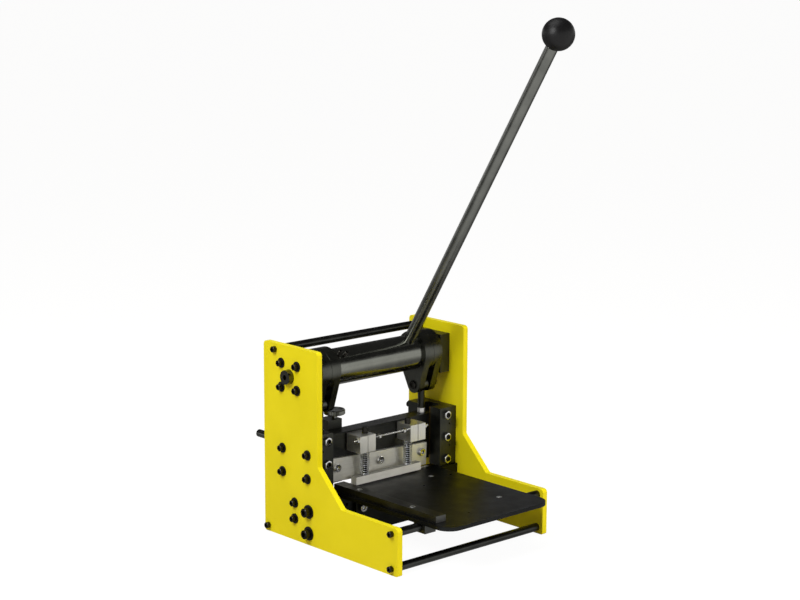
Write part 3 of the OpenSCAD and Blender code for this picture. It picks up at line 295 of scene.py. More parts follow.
yellow_enamel = bpy.data.materials.new("sprayed yellow enamel")
tree = emptied(yellow_enamel)
place = add(tree, "ShaderNodeTexCoord").outputs["Object"]
peel = add(
    tree, "ShaderNodeTexNoise",
    {"Vector": place, "Scale": per_mm(peel_size), "Detail": 2, "Roughness": 0.5},
).outputs["Fac"]
drift = add(
    tree, "ShaderNodeTexNoise",
    {"Vector": place, "Scale": per_mm(drift_size), "Detail": 3, "Roughness": 0.5},
).outputs["Fac"]
tone = add(
    tree, "ShaderNodeValToRGB", {"Fac": drift},
    [(noise_low, linear("#E9DB12")), (noise_high, linear("#F0E21A"))],
)
sheen = add(
    tree, "ShaderNodeMapRange",
    {"Value": peel, "From Min": noise_low, "From Max": noise_high, "To Min": 0.36, "To Max": 0.46},
)
ripple = add(tree, "ShaderNodeBump", {"Strength": 0.15, "Distance": peel_depth * mm, "Height": peel})
skin = add(tree, "ShaderNodeBsdfPrincipled", {
    "Base Color": tone.outputs[0], "Roughness": sheen.outputs[0], "Normal": ripple.outputs[0],
    "IOR": 1.5, "Specular IOR Level": 0.2,
})
add(tree, "ShaderNodeOutputMaterial", {"Surface": skin.outputs[0]})
print("enamel:", yellow_enamel.name)

# %% [markdown]
# ## Black phenolic
# The lever's ball is moulded phenolic, jet black and once glossy. Hands have dulled it in smears, so its
# gloss drifts over the ball, and that is all that the eye can tell it by.

# %% Black phenolic
smear_size = 14

ball_phenolic = bpy.data.materials.new("moulded black phenolic")
tree = emptied(ball_phenolic)
place = add(tree, "ShaderNodeTexCoord").outputs["Object"]
smears = add(
    tree, "ShaderNodeTexNoise", {"Vector": place, "Scale": per_mm(smear_size), "Detail": 4},
).outputs["Fac"]
handled = add(
    tree, "ShaderNodeMapRange",
    {"Value": smears, "From Min": 0.35, "From Max": noise_high, "To Min": 0.38, "To Max": 0.5},
)
tint = add(
    tree, "ShaderNodeValToRGB", {"Fac": smears}, [(0, linear("#0C0C0D")), (1, linear("#161617"))],
)
skin = add(tree, "ShaderNodeBsdfPrincipled", {
    "Base Color": tint.outputs[0], "Roughness": handled.outputs[0], "IOR": 1.55,
    "Specular IOR Level": 0.22,
})
add(tree, "ShaderNodeOutputMaterial", {"Surface": skin.outputs[0]})
print("phenolic:", ball_phenolic.name)

# %% [markdown]
# ## Broken edges on the machined pieces
# No machinist leaves a knife edge: every block has its edges broken by a file or a chamfer mill, and that
# narrow band is what catches the light. The model's meshes are loose triangles, so a stack of modifiers
# first welds them, joins the flat triangles into faces, then bevels what is sharp and shades by area.
# Modifiers leave the meshes themselves alone, so one stack serves every block.

# %% Smooth shading and the stack of modifiers
weld_gap = 0.005 * mm
flat_angle, sharp_angle = math.radians(0.5), math.radians(35)
area_weight = 80

smoothing = bpy.data.node_groups.new("smooth shading", "GeometryNodeTree")
smoothing.interface.new_socket("Geometry", in_out="INPUT", socket_type="NodeSocketGeometry")
smoothing.interface.new_socket("Geometry", in_out="OUTPUT", socket_type="NodeSocketGeometry")
mesh_in = add(smoothing, "NodeGroupInput")
smoothed = add(smoothing, "GeometryNodeSetShadeSmooth", {"Geometry": mesh_in.outputs[0]})
add(smoothing, "NodeGroupOutput", {0: smoothed.outputs[0]})


def dress(node, material, edge):
    """Gives a node its finish and breaks its sharp edges by so many mm."""
    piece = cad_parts[node]
    for slot in piece.material_slots:
        slot.material = material
    weld = piece.modifiers.new("weld", "WELD")
    weld.merge_threshold = weld_gap
    join = piece.modifiers.new("join flats", "DECIMATE")
    join.decimate_type = "DISSOLVE"
    join.angle_limit = flat_angle
    broken = piece.modifiers.new("broken edges", "BEVEL")
    broken.width = edge * mm
    broken.segments = 2
    broken.limit_method = "ANGLE"
    broken.angle_limit = sharp_angle
    broken.use_clamp_overlap = True
    smooth = piece.modifiers.new("smooth", "NODES")
    smooth.node_group = smoothing
    weigh = piece.modifiers.new("weigh normals", "WEIGHTED_NORMAL")
    weigh.weight = area_weight


print("nodes in the smoothing group:", len(smoothing.nodes))

# %% [markdown]
# ## Which piece has which finish
# Each row gives a finish, the width of the broken edge in mm and the pieces that have them. Plates and
# milled blocks get a wide edge, blades and gibs a narrow one, because what cuts or guides stays crisp. The
# rows could be calls, one for each piece, but a table is easier to compare.

# %% Dress the nodes that keep their own mesh
finishes = [
    (yellow_enamel, 0.8, ["left_side_plate", "right_side_plate"]),
    (black_rod, 0.5, ["tie_rods"]),
    (black_lever, 0.5, ["lever", "gauge_rod"]),
    (black_block, 0.6, [
        "left_bearing_block", "right_bearing_block", "left_back_guide", "right_back_guide",
        "left_front_guide", "right_front_guide", "gauge_clamp", "gauge_stop",
    ]),
    (black_beam, 0.5, ["back_beam", "tie_rod_saddles"]),
    (black_bed_painted_shade, 0.5, ["bed_beam", "table_bracket"]),
    (black_fence, 0.3, ["fence"]),
    (black_ram, 0.6, ["ram"]),
    (black_table, 0.5, ["table"]),
    (black_shaft, 0.5, ["eccentric_shaft", "thrust_collars"]),
    (black_link, 0.5, ["left_connecting_rod", "right_connecting_rod"]),
    (ground_steel, 0.3, ["upper_blade", "lower_blade"]),
    (ground_bar, 0.4, ["hold_down_foot"]),
    (ground_block, 0.5, ["left_hold_down_block", "right_hold_down_block"]),
    (gib_brass, 0.2, ["left_gib", "right_gib"]),
    (bush_bronze, 0.3, ["bearing_bushes"]),
]
for material, edge, nodes in finishes:
    for node in nodes:
        dress(node, material, edge)
print("dressed:", sum(len(nodes) for _, _, nodes in finishes))

# %% [markdown]
# ## Reading where the fasteners sit
# Each fastener node holds several separate solids. Their places could be typed in again, but then the
# screws would stay behind when the machine changes. The script finds them in a welded copy of the mesh
# instead, so that a detailed screw or nut goes exactly where the plain one stands.

# %% Find the separate solids of a node
def solids(node):
    """The low and high corners of each solid of a node, in the order of the node's vertices."""
    copy = bmesh.new()
    copy.from_mesh(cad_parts[node].data)
    bmesh.ops.remove_doubles(copy, verts=copy.verts, dist=weld_gap)
    seen, boxes = set(), []
    for start in copy.verts:
        if start in seen:
            continue
        seen.add(start)
        found = [start]
        for vert in found:
            near = [edge.other_vert(vert) for edge in vert.link_edges]
            fresh = [other for other in near if other not in seen]
            seen.update(fresh)
            found += fresh
        corners = [[pick(vert.co[i] for vert in found) for i in range(3)] for pick in (min, max)]
        boxes.append((Vector(corners[0]), Vector(corners[1])))
    copy.free()
    return boxes


print("plate screws:", len(solids("plate_screws")), "washers:", len(solids("plate_washers")))

# %% [markdown]
# ## Turning, knurling and hexagons
# A few small shop tools make every fastener. turned() spins a profile, as a lathe would. ring_of() gives a
# loop of edges, round or hexagonal, so that loops can be bridged into heads, sockets and nuts. A cut with
# another solid would give the same socket, but bridged loops keep the faces clean. knurled() presses
# straight grooves into round loops, as the rollers of a knurling tool do.

# %% Lathe, loop and knurling helpers
round_steps, hexagon = 48, 6
meeting_gap = 0.002 * mm


def once_each(items):
    """The items in the order in which they came, each of them once."""
    return list(dict.fromkeys(items))


def verts_of(edges):
    """The points of a loop."""
    return once_each(vert for edge in edges for vert in edge.verts)


def turned(shop, profile):
    """Spins a profile of (radius, height) in mm about Z. A radius of 0 closes the shape with a pole."""
    verts = [shop.verts.new((r * mm, 0, z * mm)) for r, z in profile]
    edges = [shop.edges.new(pair) for pair in zip(verts, verts[1:])]
    bmesh.ops.spin(
        shop, geom=verts + edges, cent=(0, 0, 0), axis=(0, 0, 1), angle=math.tau, steps=round_steps,
        use_merge=True,
    )
    bmesh.ops.remove_doubles(shop, verts=shop.verts, dist=meeting_gap)


def ring_of(shop, radius, height, steps=round_steps, sides=None):
    """A round loop of edges at a height in mm. With sides, it is a polygon of as many points, and radius is
    half its width across flats."""
    reach = radius / math.cos(math.pi / sides) if sides else radius
    made = bmesh.ops.create_circle(shop, segments=sides or steps, radius=reach * mm)
    edges = once_each(edge for vert in made["verts"] for edge in vert.link_edges)
    if sides:
        cut = bmesh.ops.subdivide_edges(shop, edges=edges, cuts=steps // sides - 1)
        edges = once_each(part for part in cut["geom"] if isinstance(part, bmesh.types.BMEdge))
    bmesh.ops.translate(shop, verts=verts_of(edges), vec=(0, 0, height * mm))
    return edges


def bridged(shop, *loops):
    """Joins each loop to the next by a band of faces."""
    for low, high in zip(loops, loops[1:]):
        bmesh.ops.bridge_loops(shop, edges=low + high)


def knurled(edges, radius, depth, steps):
    """Pushes every second point of round loops towards the axis."""
    for vert in verts_of(edges):
        if round(math.atan2(vert.co.y, vert.co.x) / (math.tau / steps)) % 2:
            vert.co.xy *= 1 - depth / radius


print("steps round a turned piece:", round_steps)

# %% [markdown]
# ## Placing and finishing a piece
# A finished piece is one mesh whose object stays at the origin. The same blank is stamped at each place,
# turned so that its own +Z points where the real one points. Separate objects would be simpler to place,
# but the real fasteners of one kind are handled as one set. Every blank's top is flush with the outer end
# of the plain solid that it stands for, which gives its place.

# %% Stamp a blank at places and make it a piece
to_front, to_back, to_right, to_top = (0, -1, 0), (0, 1, 0), (1, 0, 0), (0, 0, 1)


def towards(direction):
    """The turn that points a blank's +Z in a direction."""
    return Vector(direction).to_track_quat("Z", "Y").to_matrix().to_4x4()


def stamped(name, body, material, stamps, replaces=(), blend=None, soft_angle=34):
    """Makes one piece of a list of stamps, each of them a blank, its place and its direction. An edge that
    turns by more than soft_angle degrees stays crisp."""
    whole = bpy.data.meshes.new(name)
    gathered = bmesh.new()
    for blank, place, direction in stamps:
        single = bpy.data.meshes.new("single")
        blank.to_mesh(single)
        single.transform(Matrix.Translation(place) @ towards(direction))
        gathered.from_mesh(single)
        bpy.data.meshes.remove(single)
    bmesh.ops.recalc_face_normals(gathered, faces=gathered.faces)
    gathered.to_mesh(whole)
    gathered.free()
    whole.materials.append(material)
    whole.shade_smooth()
    whole.set_sharp_from_angle(angle=math.radians(soft_angle))
    piece = bpy.data.objects.new(name, whole)
    bpy.context.scene.collection.objects.link(piece)
    if blend:
        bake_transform(piece)
    else:
        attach(piece, body)
    if replaces:
        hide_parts(*replaces)


def centre(box):
    """The middle of a solid's box."""
    return (box[0] + box[1]) / 2


def outwards(box):
    """The way from the middle plane to the plate that the box is nearer to."""
    return (1 if centre(box).x > 0 else -1, 0, 0)


def stamp_in(box, blank, out):
    """Puts a blank in a solid's box so that its top is flush with the end that looks out."""
    top = max(vert.co.z for vert in blank.verts)
    half_length = abs((box[1] - box[0]).dot(Vector(out))) / 2
    return blank, centre(box) + Vector(out) * (half_length - top), out


def fitted(name, body, material, node, blank, out=None):
    """Stamps a blank into every solid of a node, which the new piece stands for."""
    stamps = [stamp_in(box, blank, out or outwards(box)) for box in solids(node)]
    stamped(name, body, material, stamps, [node])


print("turn of a blank that points to the front:", round(math.degrees(towards(to_front).to_euler().x)))

# %% [markdown]
# ## Socket cap screws
# A cap screw's head is a short cylinder with straight knurling for the fingers, a chamfered rim and a hex
# socket broached half way down. At this distance a bump could pass for the knurl, but not at the rim, where
# it shows against the light, so the knurl is real: every second point of the side is pushed in.

# %% A socket cap screw
# Shank and head diameters in mm of three inch sizes, and the height of a whole head.
quarter = {"shank_d": 6.35, "head_d": 9.6}
five_sixteenths = {"shank_d": 7.9, "head_d": 12.7}
three_eighths = {"shank_d": 9.5, "head_d": 14.3}
quarter_head_h, three_eighths_head_h = 6.4, 9.5
# Shares of the head's diameter, of the socket's radius and of the head's height.
chamfer_share, socket_share = 0.06, 0.25
lip_share, drill_share = 1.2, 0.3
socket_floor_share, drill_floor_share = 0.45, 0.35


def cap_screw(shank_d, head_d, head_h, shank_l, knurl=0.16, steps=60):
    """The head stands on Z = 0 and the shank hangs under it. knurl is the depth of the grooves in mm."""
    shop = bmesh.new()
    r, chamfer, socket_r, tip_chamfer = head_d / 2, head_d * chamfer_share, head_d * socket_share, 0.5
    knurl_r, knurl_low, knurl_high = r - 0.1 * chamfer, 0.25 * chamfer, head_h - 1.3 * chamfer
    outline = [
        (r - chamfer, 0), (knurl_r, knurl_low), (knurl_r, knurl_high), (r, head_h - chamfer),
        (r - chamfer, head_h), (socket_r * lip_share, head_h),
    ]
    under, low, high, rim, top, lip = [ring_of(shop, *point, steps) for point in outline]
    mouth = ring_of(shop, socket_r, head_h - 0.1 * chamfer, steps, hexagon)
    floor = ring_of(shop, socket_r, head_h * socket_floor_share, steps, hexagon)
    drill = ring_of(shop, socket_r * drill_share, head_h * drill_floor_share, steps)
    bridged(shop, under, low, high, rim, top, lip, mouth, floor, drill)
    bmesh.ops.contextual_create(shop, geom=drill)
    knurled(low + high, r, knurl, steps)
    collar = ring_of(shop, shank_d / 2, 0, steps)
    tail = ring_of(shop, shank_d / 2, tip_chamfer - shank_l, steps)
    tip = ring_of(shop, shank_d / 2 - tip_chamfer, -shank_l, steps)
    bridged(shop, under, collar, tail, tip)
    bmesh.ops.contextual_create(shop, geom=tip)
    return shop


# %% Plate screws
plate_shank_l = 25.9
small = cap_screw(**quarter, head_h=quarter_head_h, shank_l=plate_shank_l)
fitted("plate_cap_screws", "frame", black_screw, "plate_screws", small)
large = cap_screw(**three_eighths, head_h=three_eighths_head_h, shank_l=plate_shank_l, knurl=0.2)
fitted("bed_cap_screws", "frame", black_screw, "bed_screws", large)
print("cap screw faces:", len(small.faces))

# %% [markdown]
# ## Washers
# Washers are stamped from strip, which rounds their upper edge and leaves the lower one crisp. A tube would
# do from afar, but the rounded edge gives each washer its thin line of light. The profile has that round
# and is spun.

# %% Washers
def washer(outer_d, hole_d, thick):
    """A washer on Z = 0. Its upper edge is rounded over three points, the middle one a little inside."""
    shop = bmesh.new()
    r, hole, burr, hole_break = outer_d / 2, hole_d / 2, 0.1, 0.2
    rounding = thick * 0.3
    inside = rounding * 0.3
    turned(shop, [
        (hole, 0), (r - burr, 0), (r, burr), (r, thick - rounding), (r - inside, thick - inside),
        (r - rounding, thick), (hole + hole_break, thick), (hole, thick - hole_break), (hole, 0),
    ])
    return shop


washer_t = 1.6
small_washer = washer(outer_d=15.9, hole_d=6.65, thick=washer_t)
large_washer = washer(outer_d=22, hole_d=9.8, thick=washer_t)
# A washer wider than this belongs to one of the large screws.
least_large = 18 * mm
stamps = []
for box in solids("plate_washers"):
    blank = large_washer if box[1].z - box[0].z > least_large else small_washer
    stamps.append(stamp_in(box, blank, outwards(box)))
stamped("stamped_washers", "frame", black_screw, stamps, ["plate_washers"])
print("washers:", len(stamps))

# %% [markdown]
# ## Hex nuts
# A nut is cut from hexagon bar and its corners are turned off at 30 degrees, which leaves the curved arcs
# on its flats. A cone could be cut from a prism, but the arcs are simpler to work out: each point of the
# hexagon drops by its distance past the round face times the tangent of 30 degrees.

# %% A hex nut
def hex_nut(across_flats, hole_d, height):
    """A nut on Z = 0 with the corners of both ends turned off."""
    shop = bmesh.new()
    slope, face_share = math.tan(math.radians(30)), 0.95
    flat, hole, hole_break = across_flats / 2, hole_d / 2, 0.3
    face_r = flat * face_share
    bore_low, bore_high = ring_of(shop, hole, hole_break), ring_of(shop, hole, height - hole_break)
    lip_low, lip_high = ring_of(shop, hole + hole_break, 0), ring_of(shop, hole + hole_break, height)
    low, high = ring_of(shop, face_r, 0), ring_of(shop, face_r, height)
    hex_low, hex_high = ring_of(shop, flat, 0, sides=hexagon), ring_of(shop, flat, height, sides=hexagon)
    for loop, sign in ((hex_low, 1), (hex_high, -1)):
        for vert in verts_of(loop):
            vert.co.z += sign * (vert.co.xy.length - face_r * mm) * slope
    bridged(shop, bore_high, lip_high, high, hex_high, hex_low, low, lip_low, bore_low, bore_high)
    return shop


# %% Lock nuts on the gib screws, the push rods and the cross rod
jam = hex_nut(across_flats=12.7, hole_d=8.2, height=5.6)
fitted("gib_lock_nuts", "frame", chrome_plate, "gib_nuts", jam, to_front)
push_nut = hex_nut(across_flats=11.1, hole_d=8.2, height=8)
fitted("push_rod_lock_nuts", "ram", white_zinc, "push_rod_nuts", push_nut, to_top)
cross_nut = hex_nut(across_flats=7.6, hole_d=3.9, height=4)
fitted("cross_rod_hex_nuts", "ram", chrome_plate, "cross_rod_nuts", cross_nut, to_right)
print("nut faces:", len(jam.faces))

# %% [markdown]
# ## Threads
# At this scale a thread's lead can't be told from a stack of V grooves, so a thread is turned as grooves
# of the right pitch: 1.3 mm for a quarter inch, 1.4 mm for five sixteenths, 1.6 mm for three eighths and
# 0.9 mm for the thin cross rod. A true helix would cost many more faces and look the same.

# %% A threaded bar
def threaded(d, length, pitch, chamfer=0.6, socket_r=0):
    """A bar on Z = 0 with chamfered ends and, given its radius, a hex socket in the top."""
    shop = bmesh.new()
    r, depth, crest = d / 2, pitch / 2, pitch * 0.15
    profile = [(0, 0), (r - chamfer, 0), (r, chamfer)]
    z = chamfer
    while z + pitch < length - chamfer:
        profile += [(r, z + crest), (r - depth, z + pitch / 2), (r, z + pitch - crest)]
        z += pitch
    profile += [(r, length - chamfer), (r - chamfer, length)]
    if not socket_r:
        turned(shop, profile + [(0, length)])
        return shop
    turned(shop, profile)
    lip_r, mouth_drop, socket_l = socket_r * 1.15, 0.1, r
    top = [edge for edge in shop.edges if edge.is_boundary]
    lip = ring_of(shop, lip_r, length)
    mouth = ring_of(shop, socket_r, length - mouth_drop, sides=hexagon)
    floor = ring_of(shop, socket_r, length - socket_l, sides=hexagon)
    bridged(shop, top, lip, mouth, floor)
    bmesh.ops.contextual_create(shop, geom=floor)
    return shop


# %% Gib set screws, shaft set screws and the cross rod
gib_low, gib_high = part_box("gib_screws")
gib_set = threaded(d=7.9, length=(gib_high.y - gib_low.y) / mm, pitch=1.4, socket_r=2)
fitted("gib_set_screws", "frame", black_screw, "gib_screws", gib_set, to_front)

# The two set screws of the shaft lean towards the operator, each by its own angle from upright.
shaft_set_l, shaft_set_leans = 20, (36, 43)
shaft_set = threaded(d=6.35, length=shaft_set_l, pitch=1.3, socket_r=1.6)
stamps = []
for box, degrees in zip(sorted(solids("shaft_set_screws"), key=lambda box: box[0].x), shaft_set_leans):
    tilt = math.radians(degrees)
    axis = Vector((0, -math.sin(tilt), math.cos(tilt)))
    stamps.append((shaft_set, centre(box) - axis * shaft_set_l / 2 * mm, axis))
stamped("shaft_grub_screws", "shaft", black_screw, stamps, ["shaft_set_screws"])

cross_low, cross_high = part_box("cross_rod")
cross_l = (cross_high.x - cross_low.x) / mm
cross_bar = threaded(d=3.6, length=cross_l, pitch=0.9, chamfer=0.4)
fitted("threaded_cross_rod", "ram", chrome_plate, "cross_rod", cross_bar, to_right)
print("cross rod length in mm:", round(cross_l))

# %% [markdown]
# ## Screws that point other ways
# The blade's chrome screws face the operator. The ram's own screws and the gauge clamp's come in from the
# back, and the table's and the fence's stand in counterbores. All are the same screw in other sizes, so
# the same function makes them, with lower heads and finer knurls where the real ones have them.

# %% Blade, block, clamp and guide screws
blade_screw = cap_screw(**five_sixteenths, head_h=5, shank_l=24.3, knurl=0.12)
fitted("blade_cap_screws", "ram", chrome_plate, "upper_blade_screws", blade_screw, to_front)
low_head = cap_screw(**five_sixteenths, head_h=2.8, shank_l=8.9, knurl=0)
fitted("lower_blade_low_heads", "frame", chrome_plate, "lower_blade_screws", low_head, to_back)

from_behind = [
    ("block_cap_screws", "ram", "hold_down_block_screws", 31.5),
    ("clamp_cap_screws", "ram", "gauge_clamp_screws", 43.6),
    ("guide_cap_screws", "frame", "back_guide_screws", 12),
]
for name, body, node, shank_l in from_behind:
    blank = cap_screw(**quarter, head_h=quarter_head_h, shank_l=shank_l)
    fitted(name, body, black_screw, node, blank, to_back)
print("kinds of screw from behind:", len(from_behind))

# %% Table and bracket screws
# The screws through the fence are long and have a whole head. The table's have a low one, flush with it.
least_fence_screw, low_head_h = 12, 3
stamps = []
for box in solids("table_screws"):
    length = (box[1].z - box[0].z) / mm
    head_h, knurl = (quarter_head_h, 0.1) if length > least_fence_screw else (low_head_h, 0)
    blank = cap_screw(**quarter, head_h=head_h, shank_l=length - head_h, knurl=knurl)
    stamps.append(stamp_in(box, blank, to_top))
stamped("table_socket_screws", "frame", dull_zinc, stamps, ["table_screws"])

bracket_bolt = cap_screw(**five_sixteenths, head_h=5, shank_l=19.5, knurl=0.12)
fitted("bracket_cap_screws", "frame", chrome_plate, "bracket_screws", bracket_bolt, to_front)
print("table and fence screws:", len(stamps))

# %% [markdown]
# ## Connecting rod pins and push rods
# Each pin is a screw with a low head on the rod's inner cheek and a nut on the outer one, and its tail is
# threaded. The push rod between the cheeks has an eye at the top and a thread down to its lock nut. It
# could be cut and joined into one skin, but blanks that reach into each other look the same.

# %% Blanks for the pins and push rods
def eye_of(outer_d, hole_d, thick, chamfer=0.5):
    """A thick ring on Z = 0 with all its edges chamfered."""
    shop = bmesh.new()
    r, hole = outer_d / 2, hole_d / 2
    turned(shop, [
        (hole + chamfer, 0), (r - chamfer, 0), (r, chamfer), (r, thick - chamfer), (r - chamfer, thick),
        (hole + chamfer, thick), (hole, thick - chamfer), (hole, chamfer), (hole + chamfer, 0),
    ])
    return shop


eye_d, eye_t, into_eye = 24, 11, 3
pin = cap_screw(**three_eighths, head_h=3, shank_l=36.9, knurl=0.2)
tail = threaded(d=9.5, length=12, pitch=1.6)
pin_nut = hex_nut(across_flats=14.3, hole_d=9.8, height=8.2)
eye = eye_of(outer_d=eye_d, hole_d=13.8, thick=eye_t)
print("eye faces:", len(eye.faces))

# %% Pins, nuts and push rods
for side, sign in (("left", -1), ("right", 1)):
    low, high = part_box(side + "_pin_bolt")
    rod_low, rod_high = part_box(side + "_connecting_rod")
    cheek_in, cheek_out = (rod_high.x, rod_low.x) if sign < 0 else (rod_low.x, rod_high.x)
    y, z = (low.y + high.y) / 2, (low.z + high.z) / 2
    inside, outside = Vector((cheek_in, y, z)), Vector((cheek_out, y, z))
    stamped(side + "_threaded_pin", side + "_rod", black_screw, [
        (pin, inside, (-sign, 0, 0)), (tail, outside, (sign, 0, 0)),
    ], [side + "_pin_bolt"])
    stamped(side + "_pin_hex_nut", side + "_rod", black_screw, [
        (pin_nut, outside, (sign, 0, 0)),
    ], [side + "_pin_nut"])

    low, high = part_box(side + "_push_rod")
    x, y = (low.x + high.x) / 2, (low.y + high.y) / 2
    nut_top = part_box("push_rod_nuts")[1].z
    stud = threaded(d=7.9, length=(nut_top - low.z) / mm, pitch=1.4)
    shank = threaded(d=11.4, length=(high.z - nut_top) / mm - eye_d + into_eye, pitch=1.5, chamfer=0.4)
    stamped(side + "_threaded_push_rod", "ram", black_link, [
        (eye, Vector((x - eye_t / 2 * mm, y, high.z - eye_d / 2 * mm)), to_right),
        (shank, Vector((x, y, nut_top)), to_top), (stud, Vector((x, y, low.z)), to_top),
    ], [side + "_push_rod"])
print("push rod height in mm:", round((high.z - low.z) / mm, 1))

# %% [markdown]
# ## Hold-down rods and springs
# The two rods are shoulder screws with black heads. Round each one stands a compression spring of thirteen
# turns. Its end turns are closed and ground, which a spin with a smaller rise makes. A stack of rings would
# not do, because a spring's slant is seen at once.

# %% Guide rods
rod_head_h = 12.4
stamps = []
for box in solids("hold_down_rods"):
    shank_l = (box[1].z - box[0].z) / mm - rod_head_h
    rod = cap_screw(**quarter, head_h=rod_head_h, shank_l=shank_l)
    stamps.append(stamp_in(box, rod, to_top))
stamped("hold_down_shoulder_screws", "hold_down", black_screw, stamps, ["hold_down_rods"])
print("guide rod shank in mm:", round(shank_l, 1))

# %% Springs
def compression_spring(coil_d, wire_d, height, turns, steps=28):
    """A round wire spun up Z with a rise: a closed turn, then the open ones, then a closed turn."""
    shop = bmesh.new()
    wire_sides, closed_share = 10, 1.02
    coil_r, wire_r, closed_rise = (coil_d - wire_d) / 2, wire_d / 2, wire_d * closed_share
    open_rise = (height - wire_d - 2 * closed_rise) / (turns - 2)
    wire = bmesh.ops.create_circle(shop, segments=wire_sides, radius=wire_r * mm, cap_ends=False)["verts"]
    upright = Matrix.Rotation(math.radians(90), 3, "X")
    bmesh.ops.rotate(shop, verts=wire, cent=(0, 0, 0), matrix=upright)
    bmesh.ops.translate(shop, verts=wire, vec=(coil_r * mm, 0, wire_r * mm))
    rim = once_each(edge for vert in wire for edge in vert.link_edges)
    bmesh.ops.contextual_create(shop, geom=rim)
    section = wire + rim
    for count, rise in ((1, closed_rise), (turns - 2, open_rise), (1, closed_rise)):
        made = bmesh.ops.spin(
            shop, geom=section, cent=(0, 0, 0), axis=(0, 0, 1), dvec=(0, 0, rise / steps * mm),
            angle=math.tau * count, steps=steps * count,
        )
        section = [part for part in made["geom_last"] if not isinstance(part, bmesh.types.BMFace)]
    rim = [part for part in section if isinstance(part, bmesh.types.BMEdge)]
    bmesh.ops.contextual_create(shop, geom=rim)
    return shop


for side in ("left", "right"):
    low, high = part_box(side + "_spring")
    height = (high.z - low.z) / mm
    coil = compression_spring((high.x - low.x) / mm, wire_d=1.5, height=height, turns=13)
    seat = Vector(((low.x + high.x) / 2, (low.y + high.y) / 2, low.z))
    stamped(
        side + "_compression_spring", None, spring_wire, [(coil, seat, to_top)], [side + "_spring"],
        blend=("hold_down", "ram", tuple(seat), (seat.x, seat.y, high.z)), soft_angle=80,
    )
print("spring height in mm:", round(height, 1))

# %% [markdown]
# ## Ball knob
# The ball is moulded with a short flat where it seats on the lever. It could be turned from a half circle,
# but a ready sphere has even faces. It is cut by a plane across the lever's line, and the cut is closed
# and rounded.

# %% Ball knob
ball_r, seat_r, lever_lean = 24, 10.5, math.radians(32.1)
seat_edge, seat_lift = 0.9, 0.4
ball_steps, ball_rings = 64, 40

ball_low, ball_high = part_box("ball_knob")
ball_middle = Vector((ball_high.x - ball_r * mm, ball_low.y + ball_r * mm, ball_high.z - ball_r * mm))
lever_axis = Vector((0, -math.sin(lever_lean), math.cos(lever_lean)))
ball = bmesh.new()
bmesh.ops.create_uvsphere(ball, u_segments=ball_steps, v_segments=ball_rings, radius=ball_r * mm)
seat_z = -math.sqrt(ball_r**2 - seat_r**2)
bmesh.ops.bisect_plane(
    ball, geom=ball.verts[:] + ball.edges[:] + ball.faces[:], plane_co=(0, 0, seat_z * mm),
    plane_no=(0, 0, -1), clear_outer=True,
)
rim = [edge for edge in ball.edges if edge.is_boundary]
inner_rim = ring_of(ball, seat_r - seat_edge, seat_z + seat_lift, ball_steps)
bridged(ball, rim, inner_rim)
bmesh.ops.contextual_create(ball, geom=inner_rim)
stamped("phenolic_ball", "shaft", ball_phenolic, [(ball, ball_middle, lever_axis)], ["ball_knob"])
print("ball centre in mm:", [round(c / mm, 1) for c in ball_middle])

# %% [markdown]
# ## Thumb screw
# The back gauge is locked by a thumb screw whose rim is coarsely knurled: forty straight teeth cut round
# a disc with a hollowed top. The disc is a stack of loops, because its teeth need every second point, and
# the collar and screw under it are spun.

# %% Thumb screw
teeth, tooth_depth = 40, 0.8
disc_r, disc_h, edge_round, tooth_round = 17, 8, 1.2, 0.1
hollow_r, hollow_depth, hollow_slope = disc_r - 4, 0.7, 0.8
screw_r, tip_r, tip_l = 3.175, 2.6, 0.6
collar_r, collar_h, collar_chamfer = 4.5, 6.7, 0.4
flare_r, flare_l, into_disc = 5.2, 0.6, 1

low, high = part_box("thumb_screw")
thumb = bmesh.new()
steps = 2 * teeth
disc_z = (high.z - low.z) / mm - disc_h
side_profile = [
    (disc_r - edge_round, 0), (disc_r - tooth_round, edge_round - tooth_round),
    (disc_r, edge_round + tooth_round),
]
top_profile = [(r, disc_h - h) for r, h in reversed(side_profile)]
hollow = [(hollow_r + hollow_slope, disc_h), (hollow_r, disc_h - hollow_depth)]
loops = [ring_of(thumb, r, disc_z + h, steps) for r, h in side_profile + top_profile + hollow]
bridged(thumb, *loops)
bmesh.ops.contextual_create(thumb, geom=loops[0])
bmesh.ops.contextual_create(thumb, geom=loops[-1])
knurled(loops[2] + loops[3], disc_r, tooth_depth, steps)

collar_z = disc_z - collar_h
turned(thumb, [
    (0, 0), (tip_r, 0), (screw_r, tip_l), (screw_r, collar_z), (collar_r - collar_chamfer, collar_z),
    (collar_r, collar_z + collar_chamfer), (collar_r, disc_z - flare_l), (flare_r, disc_z),
    (flare_r, disc_z + into_disc), (0, disc_z + into_disc),
])
stamped("knurled_thumb_screw", "thumb", black_lever, [
    (thumb, Vector(((low.x + high.x) / 2, (low.y + high.y) / 2, low.z)), to_top)
], ["thumb_screw"])
print("thumb screw reach in mm:", round((high.z - low.z) / mm, 1))

# %% [markdown]
# ## Floor
# The photograph is a studio shot on white. The floor could be lit until it is white, but then the machine
# would be too bright. So a ray from the camera sees the paper glow, which adds no light to the machine, and
# a little of the matt paper is left in the mix to catch the shadow. Polished steel mirrors the paper too:
# it glows on the operator's side, and gets dim behind the machine, where a real studio is dark.

# %% Floor
floor_half, paper_white, glow_share = 30, 1.07, 0.88
# The mirrored paper fades from full to dim between these two places in m along Y, slanted along X.
lit_until, dim_from, dim_level, slant = -0.45, -0.05, 0.15, 0.4


